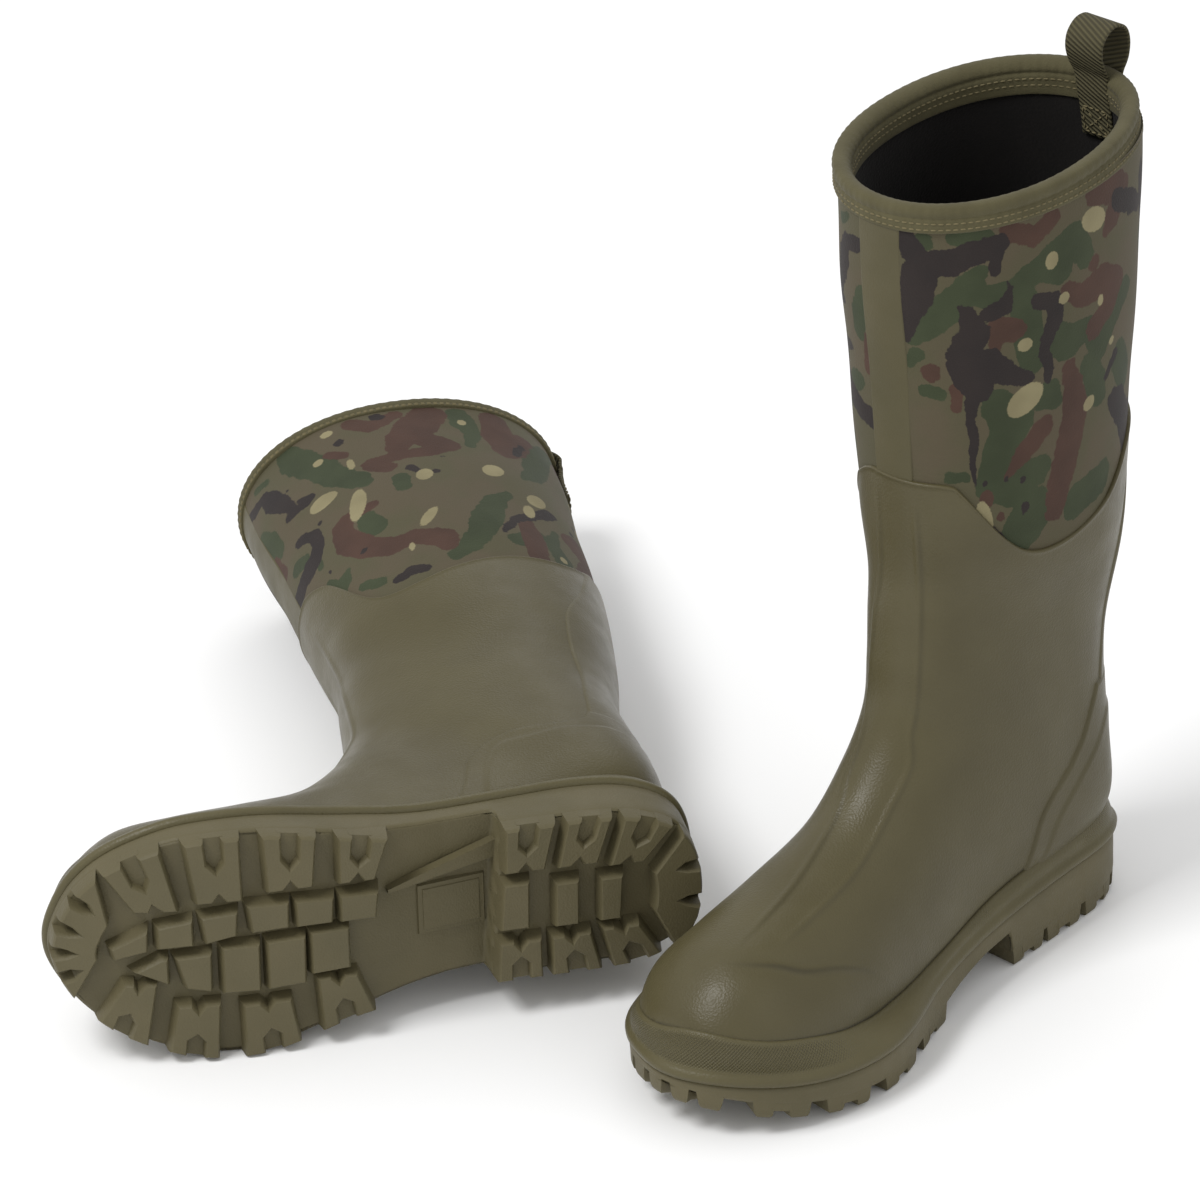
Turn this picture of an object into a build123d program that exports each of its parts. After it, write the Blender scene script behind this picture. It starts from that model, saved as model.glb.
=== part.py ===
from build123d import *
from collections import namedtuple
from functools import cache
from math import copysign, cos, hypot, pi, sin
import os

# A pair of insulated rubber boots: the right one stands, the left one lies on its inner side.
# All sizes are in millimetres.
#
# Each boot is drawn in its own frame: X forward from the back of the heel, +Y towards the inner
# (medial) side of the foot, Z up from the ground. The left boot is the right one mirrored.
# The pair's frame has +Z up, the toes towards -X and -Y, and its origin on the ground under the
# middle of the pair's box.

# ---------------------------------------------------------------- driving dimensions

SOLE_LENGTH = 305.0

# The pair on the ground: heel-back point, turn about Z, and how the left boot leans.
RIGHT_HEEL = (230.53, -45.17)
RIGHT_TURN = 227.8
LEFT_HEEL = (47.53, -155.17, 57.9)
LEFT_LEAN = (90.4, -0.6)
LEFT_TURN = 191.6

# The boot's shape, from the toe, over the instep, to past the rim. A station is a closed curve
# in a plane across the boot: its front and back points, its half-widths and how square it is.
Station = namedtuple("Station", "front back medial lateral widest front_n back_n middle")
STATIONS = [
    Station((301, 39), (297, 24.5), 10, 11, 0.60, 2.0, 2.2, 4),
    Station((293, 58.5), (286, 21.5), 26, 27.5, 0.66, 2.0, 2.6, 4),
    Station((272, 75), (262, 19), 38, 40.5, 0.70, 2.0, 3.0, 3),
    Station((243, 82.5), (229, 18), 45.5, 46, 0.74, 2.0, 3.2, 2),
    Station((211.5, 91), (191, 19), 45, 44, 0.76, 2.0, 3.2, 0),
    Station((178, 105), (149, 24), 40, 38.5, 0.76, 2.0, 3.2, -1),
    Station((154.5, 126.5), (105, 30.5), 36.5, 36, 0.70, 2.1, 3.0, -2),
    Station((142, 149), (55, 34), 37, 38, 0.66, 2.2, 2.8, -1),
    Station((138.5, 170.5), (12, 45), 39.5, 43.5, 0.64, 2.3, 2.6, 0),
    Station((136, 192.5), (5, 83), 38, 45, 0.62, 2.3, 2.4, 0),
    Station((133.5, 212.5), (7.5, 140.5), 41, 46.5, 0.58, 2.2, 2.3, 0),
    Station((134.5, 238), (-2, 195), 49.5, 51, 0.54, 2.2, 2.2, 0),
    Station((136.5, 274), (-9.5, 252.5), 52, 55, 0.52, 2.1, 2.1, 0),
    Station((139, 319.5), (-13, 318), 55.5, 58, 0.51, 2.1, 2.1, 0),
    Station((143.5, 365), (-15.5, 366.5), 57.5, 58.5, 0.50, 2.1, 2.1, 0),
    Station((145.5, 430), (-17, 435), 58, 58, 0.50, 2.1, 2.1, 0),
]
RING_POINTS = 24
FAIRING_STEPS = 3
RIM = ((144.7, 408.0), (-16.5, 413.5))
LYING_SHAFT_FLATTENED = 0.10
FLATTENED_FROM = 215.0
STRAIGHT_ABOVE = 411.0

# Depths of the layers below the outer surface of the boot.
SHELL = (0.0, 2.0)
CAMO = (1.2, 2.0)
STRIP = (0.4, 1.2)
SOCK = (2.0, 6.5)
LINING = (6.5, 7.7)
BINDING_INSIDE = 8.7
FOXING_OUT = -2.0
OVERLAY_OUT = -1.4

# The shell's wavy top edge, side view, front to back, and the roundness of its corners.
SHELL_EDGE_BACK = 262.0
RIGHT_FRONT_EDGE = 266.0
LEFT_FRONT_EDGE = 284.0
EDGE_ROUND = 14.0

# Rim binding, front strip, back overlay and pull loop.
BINDING_DROP = 14.0
BINDING_CAP = 1.2
STRIP_HALF = 12.0
WEBBING_WIDTH = 21.0
WEBBING = 2.0
LOOP_RISE = 30.0
LOOP_HALF = 11.0
LOOP_FOOT = 5.5
LOOP_START = 4.5
INNER_TAB = 22.0
OUTER_TAB = 25.0

# Sole: outline as forward position, medial and lateral half-width.
OUTLINE = [
    (3, 19, 20), (12, 29.5, 33), (30, 37, 41), (55, 38.5, 44), (90, 38.5, 44), (130, 40, 45),
    (165, 46, 51), (200, 57.5, 57.5), (225, 60, 59), (250, 56, 56.5), (275, 45, 46.5),
    (292, 30.5, 32), (302, 14, 14),
]
SOLE_TOP = [(0, 37), (60, 34), (100, 31), (140, 27), (180, 23.5), (220, 22), (260, 24), (305, 32)]
HEEL_BASE = 10.0
ARCH_BASE = 21.0
TREAD_BASE = 9.0
BREAST = 94.0
ARCH_END = 176.0
TOE_SPRING = 18.0
SPRING_FROM = 205.0
FOXING_HEIGHT = 12.0
POCKET_WALL = 13.0
POCKET_FLOOR = 4.0
SHANK = (65.0, 170.0, 15.0, 1.6)
BOARD = 2.0
FOOTBED = 5.0
FLOOR = [(-5, 46), (55, 43), (105, 38.5), (149, 32), (191, 27.5), (229, 26.5), (262, 28), (305, 32)]

# Tread: edge lugs as outer from-to, inner from-to and inner end, then blocks down the middle.
SIPE_WIDTH = 2.4
SIPE_DEPTH = 15.0
NOTCH_WIDTH = 7.0
NOTCH_DEPTH = 7.0
FOREFOOT_LATERAL = [(155, 172, 155, 175, 25), (181, 208, 182, 209, 25), (218, 245, 216, 240, 24),
                    (254, 279, 247, 268, 21)]
FOREFOOT_MEDIAL = [(158, 185, 166, 186, 22), (193, 221, 197, 219, 31), (232, 258, 230, 252, 29),
                   (268, 288, 261, 279, 17)]
HEEL_LATERAL = [(68, 93, 75, 93, 20), (42, 64, 51, 68, 19), (10, 36, 28, 44, 14)]
HEEL_MEDIAL = [(77, 93, 78, 93, 18), (51, 71, 55, 72, 18), (22, 45, 32, 48, 17)]
FOREFOOT_BLOCKS = [(155, 172), (175, 193), (197, 215.5), (220, 237), (242, 259)]
HEEL_BLOCKS = [(37, 49), (60, 72), (83, 93)]
LUG_REACH = 80.0
LUG_ROOT = 0.6
PLAQUE = (102.0, 132.0, -11.0, 13.0)


# ---------------------------------------------------------------- the boot's layered surface

def unit(x, z):
    """A direction of length one."""
    size = hypot(x, z)
    return (x / size, z / size)


def inward(points, index, turn):
    """The direction into the boot at one point of its side-view profile."""
    before = points[max(index - 1, 0)]
    after = points[min(index + 1, len(points) - 1)]
    x, z = unit(after[0] - before[0], after[1] - before[1])
    return (-z * turn, x * turn)


def inset(stations, depth):
    """The stations moved into the boot by depth, or out of it when depth is negative."""
    fronts = [s.front for s in stations]
    backs = [s.back for s in stations]
    moved = []
    for i, s in enumerate(stations):
        fx, fz = inward(fronts, i, 1)
        bx, bz = inward(backs, i, -1) if i else unit(-2, 1)
        front = (s.front[0] + fx * depth, s.front[1] + fz * depth)
        back = (s.back[0] + bx * depth, s.back[1] + bz * depth)
        narrower = depth * (0.7 if i == 0 else 1.0)
        moved.append(s._replace(front=front, back=back, medial=s.medial - narrower,
                                lateral=s.lateral - narrower))
    return moved


def flatten(stations, share):
    """The same boot with the upper shaft pressed flatter from side to side."""
    flat = []
    for s in stations:
        height = (s.front[1] + s.back[1]) / 2
        t = min(max((height - FLATTENED_FROM) / (STRAIGHT_ABOVE - FLATTENED_FROM), 0), 1)
        keep = 1 - share * t * t * (3 - 2 * t)
        flat.append(s._replace(medial=s.medial * keep, lateral=s.lateral * keep))
    return flat


def curve_through(a, b, c, d, t):
    """A smooth curve's value between b and c, with its neighbours a and d."""
    return b + t * (c - a + t * (2 * a - 5 * b + 4 * c - d + t * (3 * (b - c) + d - a))) / 2


def flat_values(s):
    """A station as a plain list of numbers."""
    return [*s.front, *s.back, *s[2:]]


def faired(stations):
    """The stations with smooth steps between them."""
    rows = [flat_values(s) for s in stations]
    ends = [rows[0]] + rows + [rows[-1]]
    fine = []
    for a, b, c, d in zip(ends, ends[1:], ends[2:], ends[3:]):
        for k in range(FAIRING_STEPS):
            row = [curve_through(*four, k / FAIRING_STEPS) for four in zip(a, b, c, d)]
            fine.append(Station((row[0], row[1]), (row[2], row[3]), *row[4:]))
    return fine + [stations[-1]]


def station_face(s):
    """One station as a flat face."""
    points = []
    for k in range(RING_POINTS):
        c = cos(2 * pi * k / RING_POINTS)
        w = sin(2 * pi * k / RING_POINTS)
        n = s.front_n if c >= 0 else s.back_n
        depth = copysign(abs(c) ** (2 / n), c)
        width = copysign(abs(w) ** (2 / n), w)
        u = s.widest - depth * (s.widest if c >= 0 else 1 - s.widest)
        x = s.front[0] + (s.back[0] - s.front[0]) * u
        z = s.front[1] + (s.back[1] - s.front[1]) * u
        points.append((x, s.middle + width * (s.medial if w >= 0 else s.lateral), z))
    even = [k / RING_POINTS for k in range(RING_POINTS + 1)]
    return make_face(Edge.make_spline([Vector(*p) for p in points], periodic=True, parameters=even))


@cache
def body(depth, flat):
    """The solid inside the boot's surface at one depth, running on past the rim."""
    stations = flatten(inset(STATIONS, depth), LYING_SHAFT_FLATTENED if flat else 0)
    caps = [station_face(s).face() for s in faired(stations)]
    rings = [cap.edge() for cap in caps]
    sides = [Face.make_surface_from_curves(low, high) for low, high in zip(rings, rings[1:])]
    return Part([Solid(Shell(sides + [caps[0], caps[-1]]))])


def layer(depths, flat):
    """The skin between two depths."""
    outer, inner = depths
    return body(outer, flat) - body(inner, flat)


# ---------------------------------------------------------------- cutting shapes

def side_prism(curves, low=-80.0, high=80.0):
    """A closed side-view outline, x and z, swept across the boot from y = low to y = high."""
    face = make_face(Plane.XZ * curves)
    return Pos(0, high, 0) * extrude(face, high - low, dir=(0, -1, 0))


def below_rim(drop):
    """Everything more than drop under the rim's plane."""
    (x1, z1), (x0, z0) = RIM
    slope = (z1 - z0) / (x1 - x0)
    left, right = -60.0, 340.0
    outline = Polyline((left, z0 + (left - x0) * slope - drop), (left, -20), (right, -20),
                       (right, z0 + (right - x0) * slope - drop), close=True)
    return side_prism(outline)


def over_shell_edge(front_height, side):
    """Everything above the shell's wavy edge on one side, +1 medial or -1 lateral."""
    edge = FilletPolyline((170, front_height), (128, front_height), (97, 222), (62, 230),
                          (26, 240), (10, SHELL_EDGE_BACK), (-40, SHELL_EDGE_BACK),
                          radius=EDGE_ROUND)
    outline = edge + Polyline((-40, SHELL_EDGE_BACK), (-40, 460), (170, 460), (170, front_height))
    if side > 0:
        return side_prism(outline, 0, 80)
    return side_prism(outline, -80, 0)



def under_line(points, height, low=-80.0, high=80.0):
    """Everything between a side-view spline through points, heel to toe, and a flat line."""
    curve = Spline(*points)
    frame = Polyline(points[-1], (points[-1][0], height), (points[0][0], height), points[0])
    return side_prism(curve + frame, low, high)


# ---------------------------------------------------------------- the sole

def half_width(x, side):
    """The sole's half-width at x on one side, +1 medial or -1 lateral."""
    rows = [(0, 0)] + [(row[0], row[1 if side > 0 else 2]) for row in OUTLINE] + [(SOLE_LENGTH, 0)]
    for (x0, y0), (x1, y1) in zip(rows, rows[1:]):
        if x0 <= x <= x1:
            return y0 + (y1 - y0) * (x - x0) / (x1 - x0)
    return 0.0


def sole_plan(low, high, shrink=0.0):
    """The sole's outline from z = low to z = high, optionally drawn in from its edge."""
    medial = [(x, y - shrink) for x, y, _ in OUTLINE]
    lateral = [(x, shrink - y) for x, _, y in reversed(OUTLINE)]
    heel = (shrink, 0)
    toe = (SOLE_LENGTH - shrink, 0)
    if shrink:
        medial = [p for p in medial if shrink + 8 < p[0] < SOLE_LENGTH - shrink - 8]
        lateral = [p for p in lateral if shrink + 8 < p[0] < SOLE_LENGTH - shrink - 8]
    face = make_face(Spline(heel, *medial, toe, *lateral, periodic=True))
    return Pos(0, 0, low) * extrude(face, high - low, dir=(0, 0, 1))


def ground(x):
    """Height of the tread's surface: flat, then rising under the toe."""
    return TOE_SPRING * (max(x - SPRING_FROM, 0) / (SOLE_LENGTH - SPRING_FROM)) ** 2


def above_ground(lift):
    """Everything above the tread's surface moved up by lift."""
    flat = [(-10, lift), (SPRING_FROM, lift)]
    toe = [(x, ground(x) + lift) for x in (SPRING_FROM, 235, 265, 290, SOLE_LENGTH + 5)]
    curves = Polyline(*flat) + Spline(*toe) + Polyline(toe[-1], (toe[-1][0], 90), (-10, 90), flat[0])
    return side_prism(curves)


def above_base(lift):
    """Everything above the base's underside moved up by lift: heel, breast, arch, forefoot."""
    heel = Polyline((-10, HEEL_BASE + lift), (BREAST, HEEL_BASE + lift), (BREAST + 2, ARCH_BASE + lift))
    arch = Spline((BREAST + 2, ARCH_BASE + lift), (120, 18 + lift), (150, 12 + lift),
                  (ARCH_END, TREAD_BASE + lift))
    ball = Line((ARCH_END, TREAD_BASE + lift), (SPRING_FROM, TREAD_BASE + lift))
    toe = [(x, ground(x) + TREAD_BASE + lift) for x in (SPRING_FROM, 235, 265, 290, SOLE_LENGTH + 5)]
    back = Polyline(toe[-1], (toe[-1][0], 90), (-10, 90), (-10, HEEL_BASE + lift))
    return side_prism(heel + arch + ball + Spline(*toe) + back)


def under_sole_top(lift):
    """Everything below the top edge of the sole's wall moved up by lift."""
    points = [(-10, SOLE_TOP[0][1] + lift)] + [(x, z + lift) for x, z in SOLE_TOP[1:-1]]
    return under_line(points + [(SOLE_LENGTH + 5, SOLE_TOP[-1][1] + lift)], -20)


def cut(start, end, width):
    """A pointed cut in plan, as wide as width at its start and running out at its end."""
    dx, dy = unit(end[0] - start[0], end[1] - start[1])
    px, py = -dy * width / 2, dx * width / 2
    return make_face(Polyline((start[0] - dx + px, start[1] - dy + py), end,
                              (start[0] - dx - px, start[1] - dy - py), close=True))


def edge_lug(lug, side):
    """One lug at the sole's edge in plan, with a sipe in its outer end and a notch in its inner."""
    out0, out1, in0, in1, inner = lug
    middle = (out0 + out1) / 2
    edge = half_width(middle, side)
    shoulder = side * (edge - SIPE_DEPTH)
    blank = make_face(Polyline((out0, side * LUG_REACH), (out1, side * LUG_REACH),
                               (out1, shoulder), (in1, side * inner), (in0, side * inner),
                               (out0, shoulder), close=True))
    sipe = cut((middle, side * LUG_REACH), (middle, shoulder), SIPE_WIDTH)
    inner_middle = (in0 + in1) / 2
    notch = cut((inner_middle, side * inner), (inner_middle, side * (inner + NOTCH_DEPTH)),
                NOTCH_WIDTH)
    return blank - sipe - notch


def toe_lug():
    """The one-piece lug round the toe, with an arc inside and sipes fanned round it."""
    blank = make_face(Polyline((289, -70), (277, -10), (279, 10), (291, 19), (299, 70), (330, 70),
                               (330, -70), close=True))
    for x, y in ((290, -24), (297, -14), (300, -4), (298, 8)):
        blank -= cut((x + 14, y * 1.6), (x, y), SIPE_WIDTH)
    return blank - Pos(276, -3) * Circle(9)


def heel_back_lug():
    """The rounded lug at the back of the heel."""
    blank = make_face(Polyline((5, -50), (25, -13), (29, 0), (29, 15), (17, 50), (-10, 50),
                               (-10, -50), close=True))
    for x, y in ((12, -5), (13, 12)):
        blank -= cut((x - 14, y * 1.4), (x, y), SIPE_WIDTH)
    return blank - Pos(33, 1) * Circle(8)


def chevron(x0, x1, inner, outer, side):
    """One block down the middle of the forefoot, its outer end pointed."""
    tip = side * (outer + 5)
    return make_face(Polyline((x0, side * inner), (x1, side * inner), (x1, side * outer),
                              ((x0 + x1) / 2, tip), (x0, side * outer), close=True))


def tread():
    """Every lug and block, in plan."""
    lugs = [edge_lug(lug, -1) for lug in FOREFOOT_LATERAL + HEEL_LATERAL]
    lugs += [edge_lug(lug, 1) for lug in FOREFOOT_MEDIAL + HEEL_MEDIAL]
    lugs += [toe_lug(), heel_back_lug()]
    for x0, x1 in FOREFOOT_BLOCKS:
        lugs.append(chevron(x0, x1, 6, 15, -1))
    for x0, x1 in FOREFOOT_BLOCKS:
        lugs.append(chevron(x0 - 6 + 18, x1 - 7 + 18, -1, 18, 1))
    for x0, x1 in HEEL_BLOCKS:
        lugs.append(make_face(Polyline((x0, -11), (x1, -11), (x1, 12), (x0, 12), close=True)))
    return lugs


def outsole():
    """The cleated sole: a cup that takes the boot, its lugs, and a pocket for the midsole."""
    base = (sole_plan(-5, 60) & above_base(0)) & under_sole_top(0)
    blocks = [extrude(lug, 45, dir=(0, 0, 1)) for lug in tread()]
    reach = sole_plan(-5, 60) & (above_ground(0) - above_base(LUG_ROOT))
    lugs = [block & reach for block in blocks]
    x0, x1, y0, y1 = PLAQUE
    plaque = Pos((x0 + x1) / 2, (y0 + y1) / 2, 0) * extrude(Rectangle(x1 - x0, y1 - y0), 30)
    plaque = plaque & (above_base(-1.0) - above_base(LUG_ROOT))
    return base + lugs + plaque - body(0.0, False) - pocket()


def pocket():
    """The space in the sole, under the boot, that the midsole fills."""
    return sole_plan(0, 60, POCKET_WALL) & above_base(POCKET_FLOOR) & under_sole_top(-1)


def shank():
    """The stiff strip along the waist of the sole, in a recess under the midsole."""
    x0, x1, width, thick = SHANK
    strip = Pos((x0 + x1) / 2, 0, 0) * extrude(RectangleRounded(x1 - x0, width * 2, width * 0.8), 60)
    return strip & (above_base(POCKET_FLOOR) - above_base(POCKET_FLOOR + thick)) & pocket()


def midsole(strip):
    """The foam filler between the boot and the sole's floor."""
    return pocket() - body(0.0, False) - strip


# ---------------------------------------------------------------- the boot's layers

def trimmed(depths, flat, drop):
    """The skin between two depths, cut off at a drop under the rim."""
    outer, inner = depths
    return (body(outer, flat) & below_rim(drop)) - body(inner, flat)


def rubber_shell(front_height, flat):
    """The moulded rubber bootie, from under the foot up to its wavy top edge."""
    outer = body(SHELL[0], flat)
    for side in (1, -1):
        outer -= over_shell_edge(front_height, side)
    return outer - body(SHELL[1], flat)


def camo_panel(front_height, flat, side):
    """One printed fabric panel of the shaft, from the shell's edge to the rim, on one side."""
    return trimmed(CAMO, flat, BINDING_CAP) & over_shell_edge(front_height, side)


def front_strip(front_height, flat):
    """The rubber strip over the front seam, from the shell's edge up to the binding."""
    front = Pos(145, 0, 330) * Box(90, 2 * STRIP_HALF, 200)
    strip = trimmed(STRIP, flat, BINDING_DROP) & front
    return (strip & over_shell_edge(front_height, 1)) + (strip & over_shell_edge(front_height, -1))


def top_binding(flat):
    """The folded binding that caps the rim, inside and outside."""
    band = trimmed((0.0, BINDING_INSIDE), flat, 0) - below_rim(BINDING_DROP)
    return band - trimmed((CAMO[0], LINING[1]), flat, BINDING_CAP)


def foxing_band():
    """The raised strip round the foot, just over the sole's wall."""
    return layer((FOXING_OUT, 0.0), False) & (under_sole_top(FOXING_HEIGHT) - under_sole_top(0))


def heel_counter():
    """The overlay that wraps the back of the heel, over the foxing band."""
    edge = Spline((92, 44), (79, 60), (68, 76), (52, 90), (34, 116), (20, 138))
    outline = edge + Polyline((20, 138), (-30, 150), (-30, 20), (92, 20), (92, 44))
    wrap = layer((OVERLAY_OUT, 0.0), False) & side_prism(outline)
    return wrap - under_sole_top(FOXING_HEIGHT)


def back_stay(flat):
    """The raised panel up the back of the shaft, over the counter."""
    edge = Spline((24, 142), (25, 165), (22, 192), (12, 220), (-4, 250))
    outline = edge + Polyline((-4, 250), (-40, 250), (-40, 153), (24, 142))
    return layer((OVERLAY_OUT, 0.0), flat) & side_prism(outline)


def heel_spur():
    """The ledge at the back of the heel that the other foot pushes on."""
    sides = Polyline((-10, 45), (16, 45), (16, 66), (-10, 56), close=True)
    ledge = sole_plan(0, 80) & side_prism(sides)
    return ledge - under_sole_top(FOXING_HEIGHT) - body(OVERLAY_OUT, False)


def under_floor(lift):
    """Everything below the line of the inside floor moved up by lift."""
    return under_line([(x, z + lift) for x, z in FLOOR], -20)


def insole_board():
    """The board on the floor inside the lining."""
    return body(LINING[1], False) & under_floor(BOARD)


def footbed():
    """The soft footbed on the board."""
    return (body(LINING[1], False) & under_floor(BOARD + FOOTBED)) - under_floor(BOARD)


def back_box(low, high):
    """A box as wide as the webbing, across the back of the rim, from low to high about it."""
    return Pos(RIM[1][0], 0, RIM[1][1] + (low + high) / 2) * Box(80, WEBBING_WIDTH, high - low)


def pull_tab(depths, flat, drop):
    """One end of the webbing, stitched down over the back of the rim, inside or outside."""
    return trimmed(depths, flat, 0) & back_box(-drop, 5)


def pull_loop():
    """The webbing loop over the back of the rim, an oval band that stands open above it."""
    height = (LOOP_RISE - WEBBING / 2 - LOOP_START) / (1 + sin(pi / 3))
    centre = LOOP_START + height * sin(pi / 3)
    half = WEBBING / 2
    band = Ellipse(LOOP_HALF + half, height + half) - Ellipse(LOOP_HALF - half, height - half)
    band = Pos(0, centre) * band - Pos(0, LOOP_START - 10) * Rectangle(40, 20)
    x = RIM[1][0] + BINDING_INSIDE / 2
    loop = extrude(Plane.XZ * band, WEBBING_WIDTH / 2, both=True)
    return Pos(x, 0, RIM[1][1]) * loop


# ---------------------------------------------------------------- the pair

def boot_pieces(front_height, flat):
    """Every piece of one boot, in the boot's own frame."""
    strip = shank()
    return {
        "outsole": outsole(),
        "midsole": midsole(strip),
        "shank": strip,
        "rubber_shell": rubber_shell(front_height, flat),
        "foxing_band": foxing_band(),
        "heel_counter": heel_counter(),
        "heel_spur": heel_spur(),
        "back_stay": back_stay(flat),
        "camo_medial": camo_panel(front_height, flat, 1),
        "camo_lateral": camo_panel(front_height, flat, -1),
        "front_strip": front_strip(front_height, flat),
        "neoprene_sock": trimmed(SOCK, flat, BINDING_CAP),
        "lining": trimmed(LINING, flat, BINDING_CAP),
        "insole_board": insole_board(),
        "footbed": footbed(),
        "top_binding": top_binding(flat),
        "pull_tab_inside": pull_tab((BINDING_INSIDE, BINDING_INSIDE + WEBBING), flat, INNER_TAB),
        "pull_tab_outside": pull_tab((-WEBBING, 0.0), flat, OUTER_TAB),
        "pull_loop": pull_loop(),
    }


def stand(piece):
    """Puts a piece of the right boot in the pair's frame: upright."""
    return Pos(*RIGHT_HEEL, 0) * Rot(0, 0, RIGHT_TURN) * piece


def lie(piece):
    """Puts a piece of the left boot in the pair's frame: mirrored, on its medial side."""
    roll, pitch = LEFT_LEAN
    turned = Rot(0, 0, LEFT_TURN) * Rot(0, pitch, 0) * Rot(roll, 0, 0)
    return Pos(*LEFT_HEEL) * turned * mirror(piece, about=Plane.XZ)


def main():
    os.makedirs("parts", exist_ok=True)
    for name, piece in boot_pieces(RIGHT_FRONT_EDGE, False).items():
        export_step(stand(piece), f"parts/right_{name}.step")
    for name, piece in boot_pieces(LEFT_FRONT_EDGE, True).items():
        export_step(lie(piece), f"parts/left_{name}.step")


if __name__ == "__main__":
    main()
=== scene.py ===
from math import cos, pi, radians, sin
import bpy
import numpy as np
from mathutils import Matrix, Vector
from mathutils.bvhtree import BVHTree


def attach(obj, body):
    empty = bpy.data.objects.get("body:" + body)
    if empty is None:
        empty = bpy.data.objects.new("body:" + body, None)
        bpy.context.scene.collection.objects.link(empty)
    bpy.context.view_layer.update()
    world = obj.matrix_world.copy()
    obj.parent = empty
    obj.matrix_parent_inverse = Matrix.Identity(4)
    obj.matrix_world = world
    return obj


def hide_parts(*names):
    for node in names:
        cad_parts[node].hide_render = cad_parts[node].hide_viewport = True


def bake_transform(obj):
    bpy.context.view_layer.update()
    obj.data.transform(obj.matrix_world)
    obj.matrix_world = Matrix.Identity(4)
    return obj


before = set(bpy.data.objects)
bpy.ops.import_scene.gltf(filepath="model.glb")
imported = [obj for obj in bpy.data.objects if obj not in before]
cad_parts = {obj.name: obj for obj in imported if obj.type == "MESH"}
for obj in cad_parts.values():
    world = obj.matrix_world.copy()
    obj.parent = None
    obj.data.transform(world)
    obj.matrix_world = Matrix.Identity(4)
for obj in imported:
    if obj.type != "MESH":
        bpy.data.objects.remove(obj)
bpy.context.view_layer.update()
join, norm = np.concatenate, np.linalg.norm

# A pair of insulated rubber boots. Shapes are worked out in millimetres in each boot's own frame:
# X forward from the back of the heel, +Y towards the inner side of the foot, Z up from the ground.

# ---- sizes of the boot and where each one is

# front (x, z), back (x, z), medial and lateral half-width, widest, front and back squareness, middle
STATIONS = np.array([
    (301, 39, 297, 24.5, 11, 17, .60, 2.0, 2.2, 4),
    (293, 58.5, 286, 21.5, 27, 34, .66, 2.0, 2.6, 4),
    (272, 75, 262, 19, 39, 47, .70, 2.0, 3.0, 3),
    (243, 82.5, 229, 18, 45.5, 49, .74, 2.0, 3.2, 2),
    (211.5, 91, 191, 19, 45, 45, .76, 2.0, 3.6, 0),
    (178, 105, 149, 24, 40, 38.5, .76, 2.0, 4.2, -1),
    (154.5, 126.5, 105, 30.5, 36.5, 36, .70, 2.1, 4.8, -2),
    (142, 149, 55, 34, 37, 38, .66, 2.2, 4.6, -1),
    (138.5, 170.5, 12, 45, 39.5, 43.5, .64, 2.3, 3.0, 0),
    (136, 192.5, 5, 83, 38, 45, .62, 2.3, 2.4, 0),
    (133.5, 212.5, 7.5, 140.5, 41, 46.5, .58, 2.2, 2.3, 0),
    (134.5, 238, -2, 195, 49.5, 52, .54, 2.2, 2.2, 0),
    (137.5, 274, -9.5, 252.5, 52, 56.5, .52, 2.1, 2.1, 0),
    (140, 319.5, -13.5, 318, 55.5, 60, .51, 2.1, 2.1, 0),
    (144.5, 365, -17, 366.5, 57, 60.5, .50, 2.1, 2.1, 0),
    (146.5, 430, -19, 435, 57, 59.5, .50, 2.1, 2.1, 0),
])
RIM = ((145.7, 411.0), (-18.3, 413.8))
OUTLINE = [
    (3, 19, 20), (12, 29.5, 33), (30, 37, 41), (55, 38.5, 44), (90, 38.5, 44), (130, 40, 45),
    (165, 46, 51), (200, 57.5, 57.5), (225, 60, 59), (250, 56, 56.5), (275, 45, 46.5),
    (292, 30.5, 32), (302, 14, 14),
]
SOLE_LENGTH = 305.0
SOLE_TOP = [(-30, 31), (0, 31), (25, 34), (60, 34), (100, 31), (140, 27), (180, 23.5),
            (220, 22), (260, 24), (305, 32)]
FLAT = {"right": 0.0, "left": 0.10}


def turned(axis, degrees):
    """A rotation about a named axis."""
    return np.array(Matrix.Rotation(radians(degrees), 3, axis))


MIRROR = np.diag([1.0, -1.0, 1.0])
FRAMES = {
    "right": (turned("Z", 227.8), np.array([230.53, -45.17, 0.0])),
    "left": (turned("Z", 191.6) @ turned("Y", -0.6) @ turned("X", 90.4) @ MIRROR,
             np.array([47.53, -155.17, 57.9])),
}


def place(side, points):
    """A boot's points, in millimetres, in the pair's frame, in metres."""
    turn, shift = FRAMES[side]
    return (np.asarray(points, float).reshape(-1, 3) @ turn.T + shift) * 0.001


# ---- the boot's surface

def smooth(low, high, x):
    """A smooth step from 0 below low to 1 above high."""
    t = np.clip((x - low) / (high - low), 0, 1)
    return t * t * (3 - 2 * t)


def unit(v):
    """Vectors of length one."""
    return v / np.maximum(norm(v, axis=-1, keepdims=True), 1e-9)


def axes(p):
    """The coordinates of points, one array each."""
    return np.moveaxis(p, -1, 0)


def rightwards(v):
    """Flat directions turned clockwise by a quarter."""
    return np.stack([v[..., 1], -v[..., 0]], -1)


def closed(line):
    """A line that ends where it starts."""
    return join([line, line[:1]])


def arc(line):
    """Distances along a line."""
    return join([[0], np.cumsum(norm(np.diff(line, axis=0), axis=1))])


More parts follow.
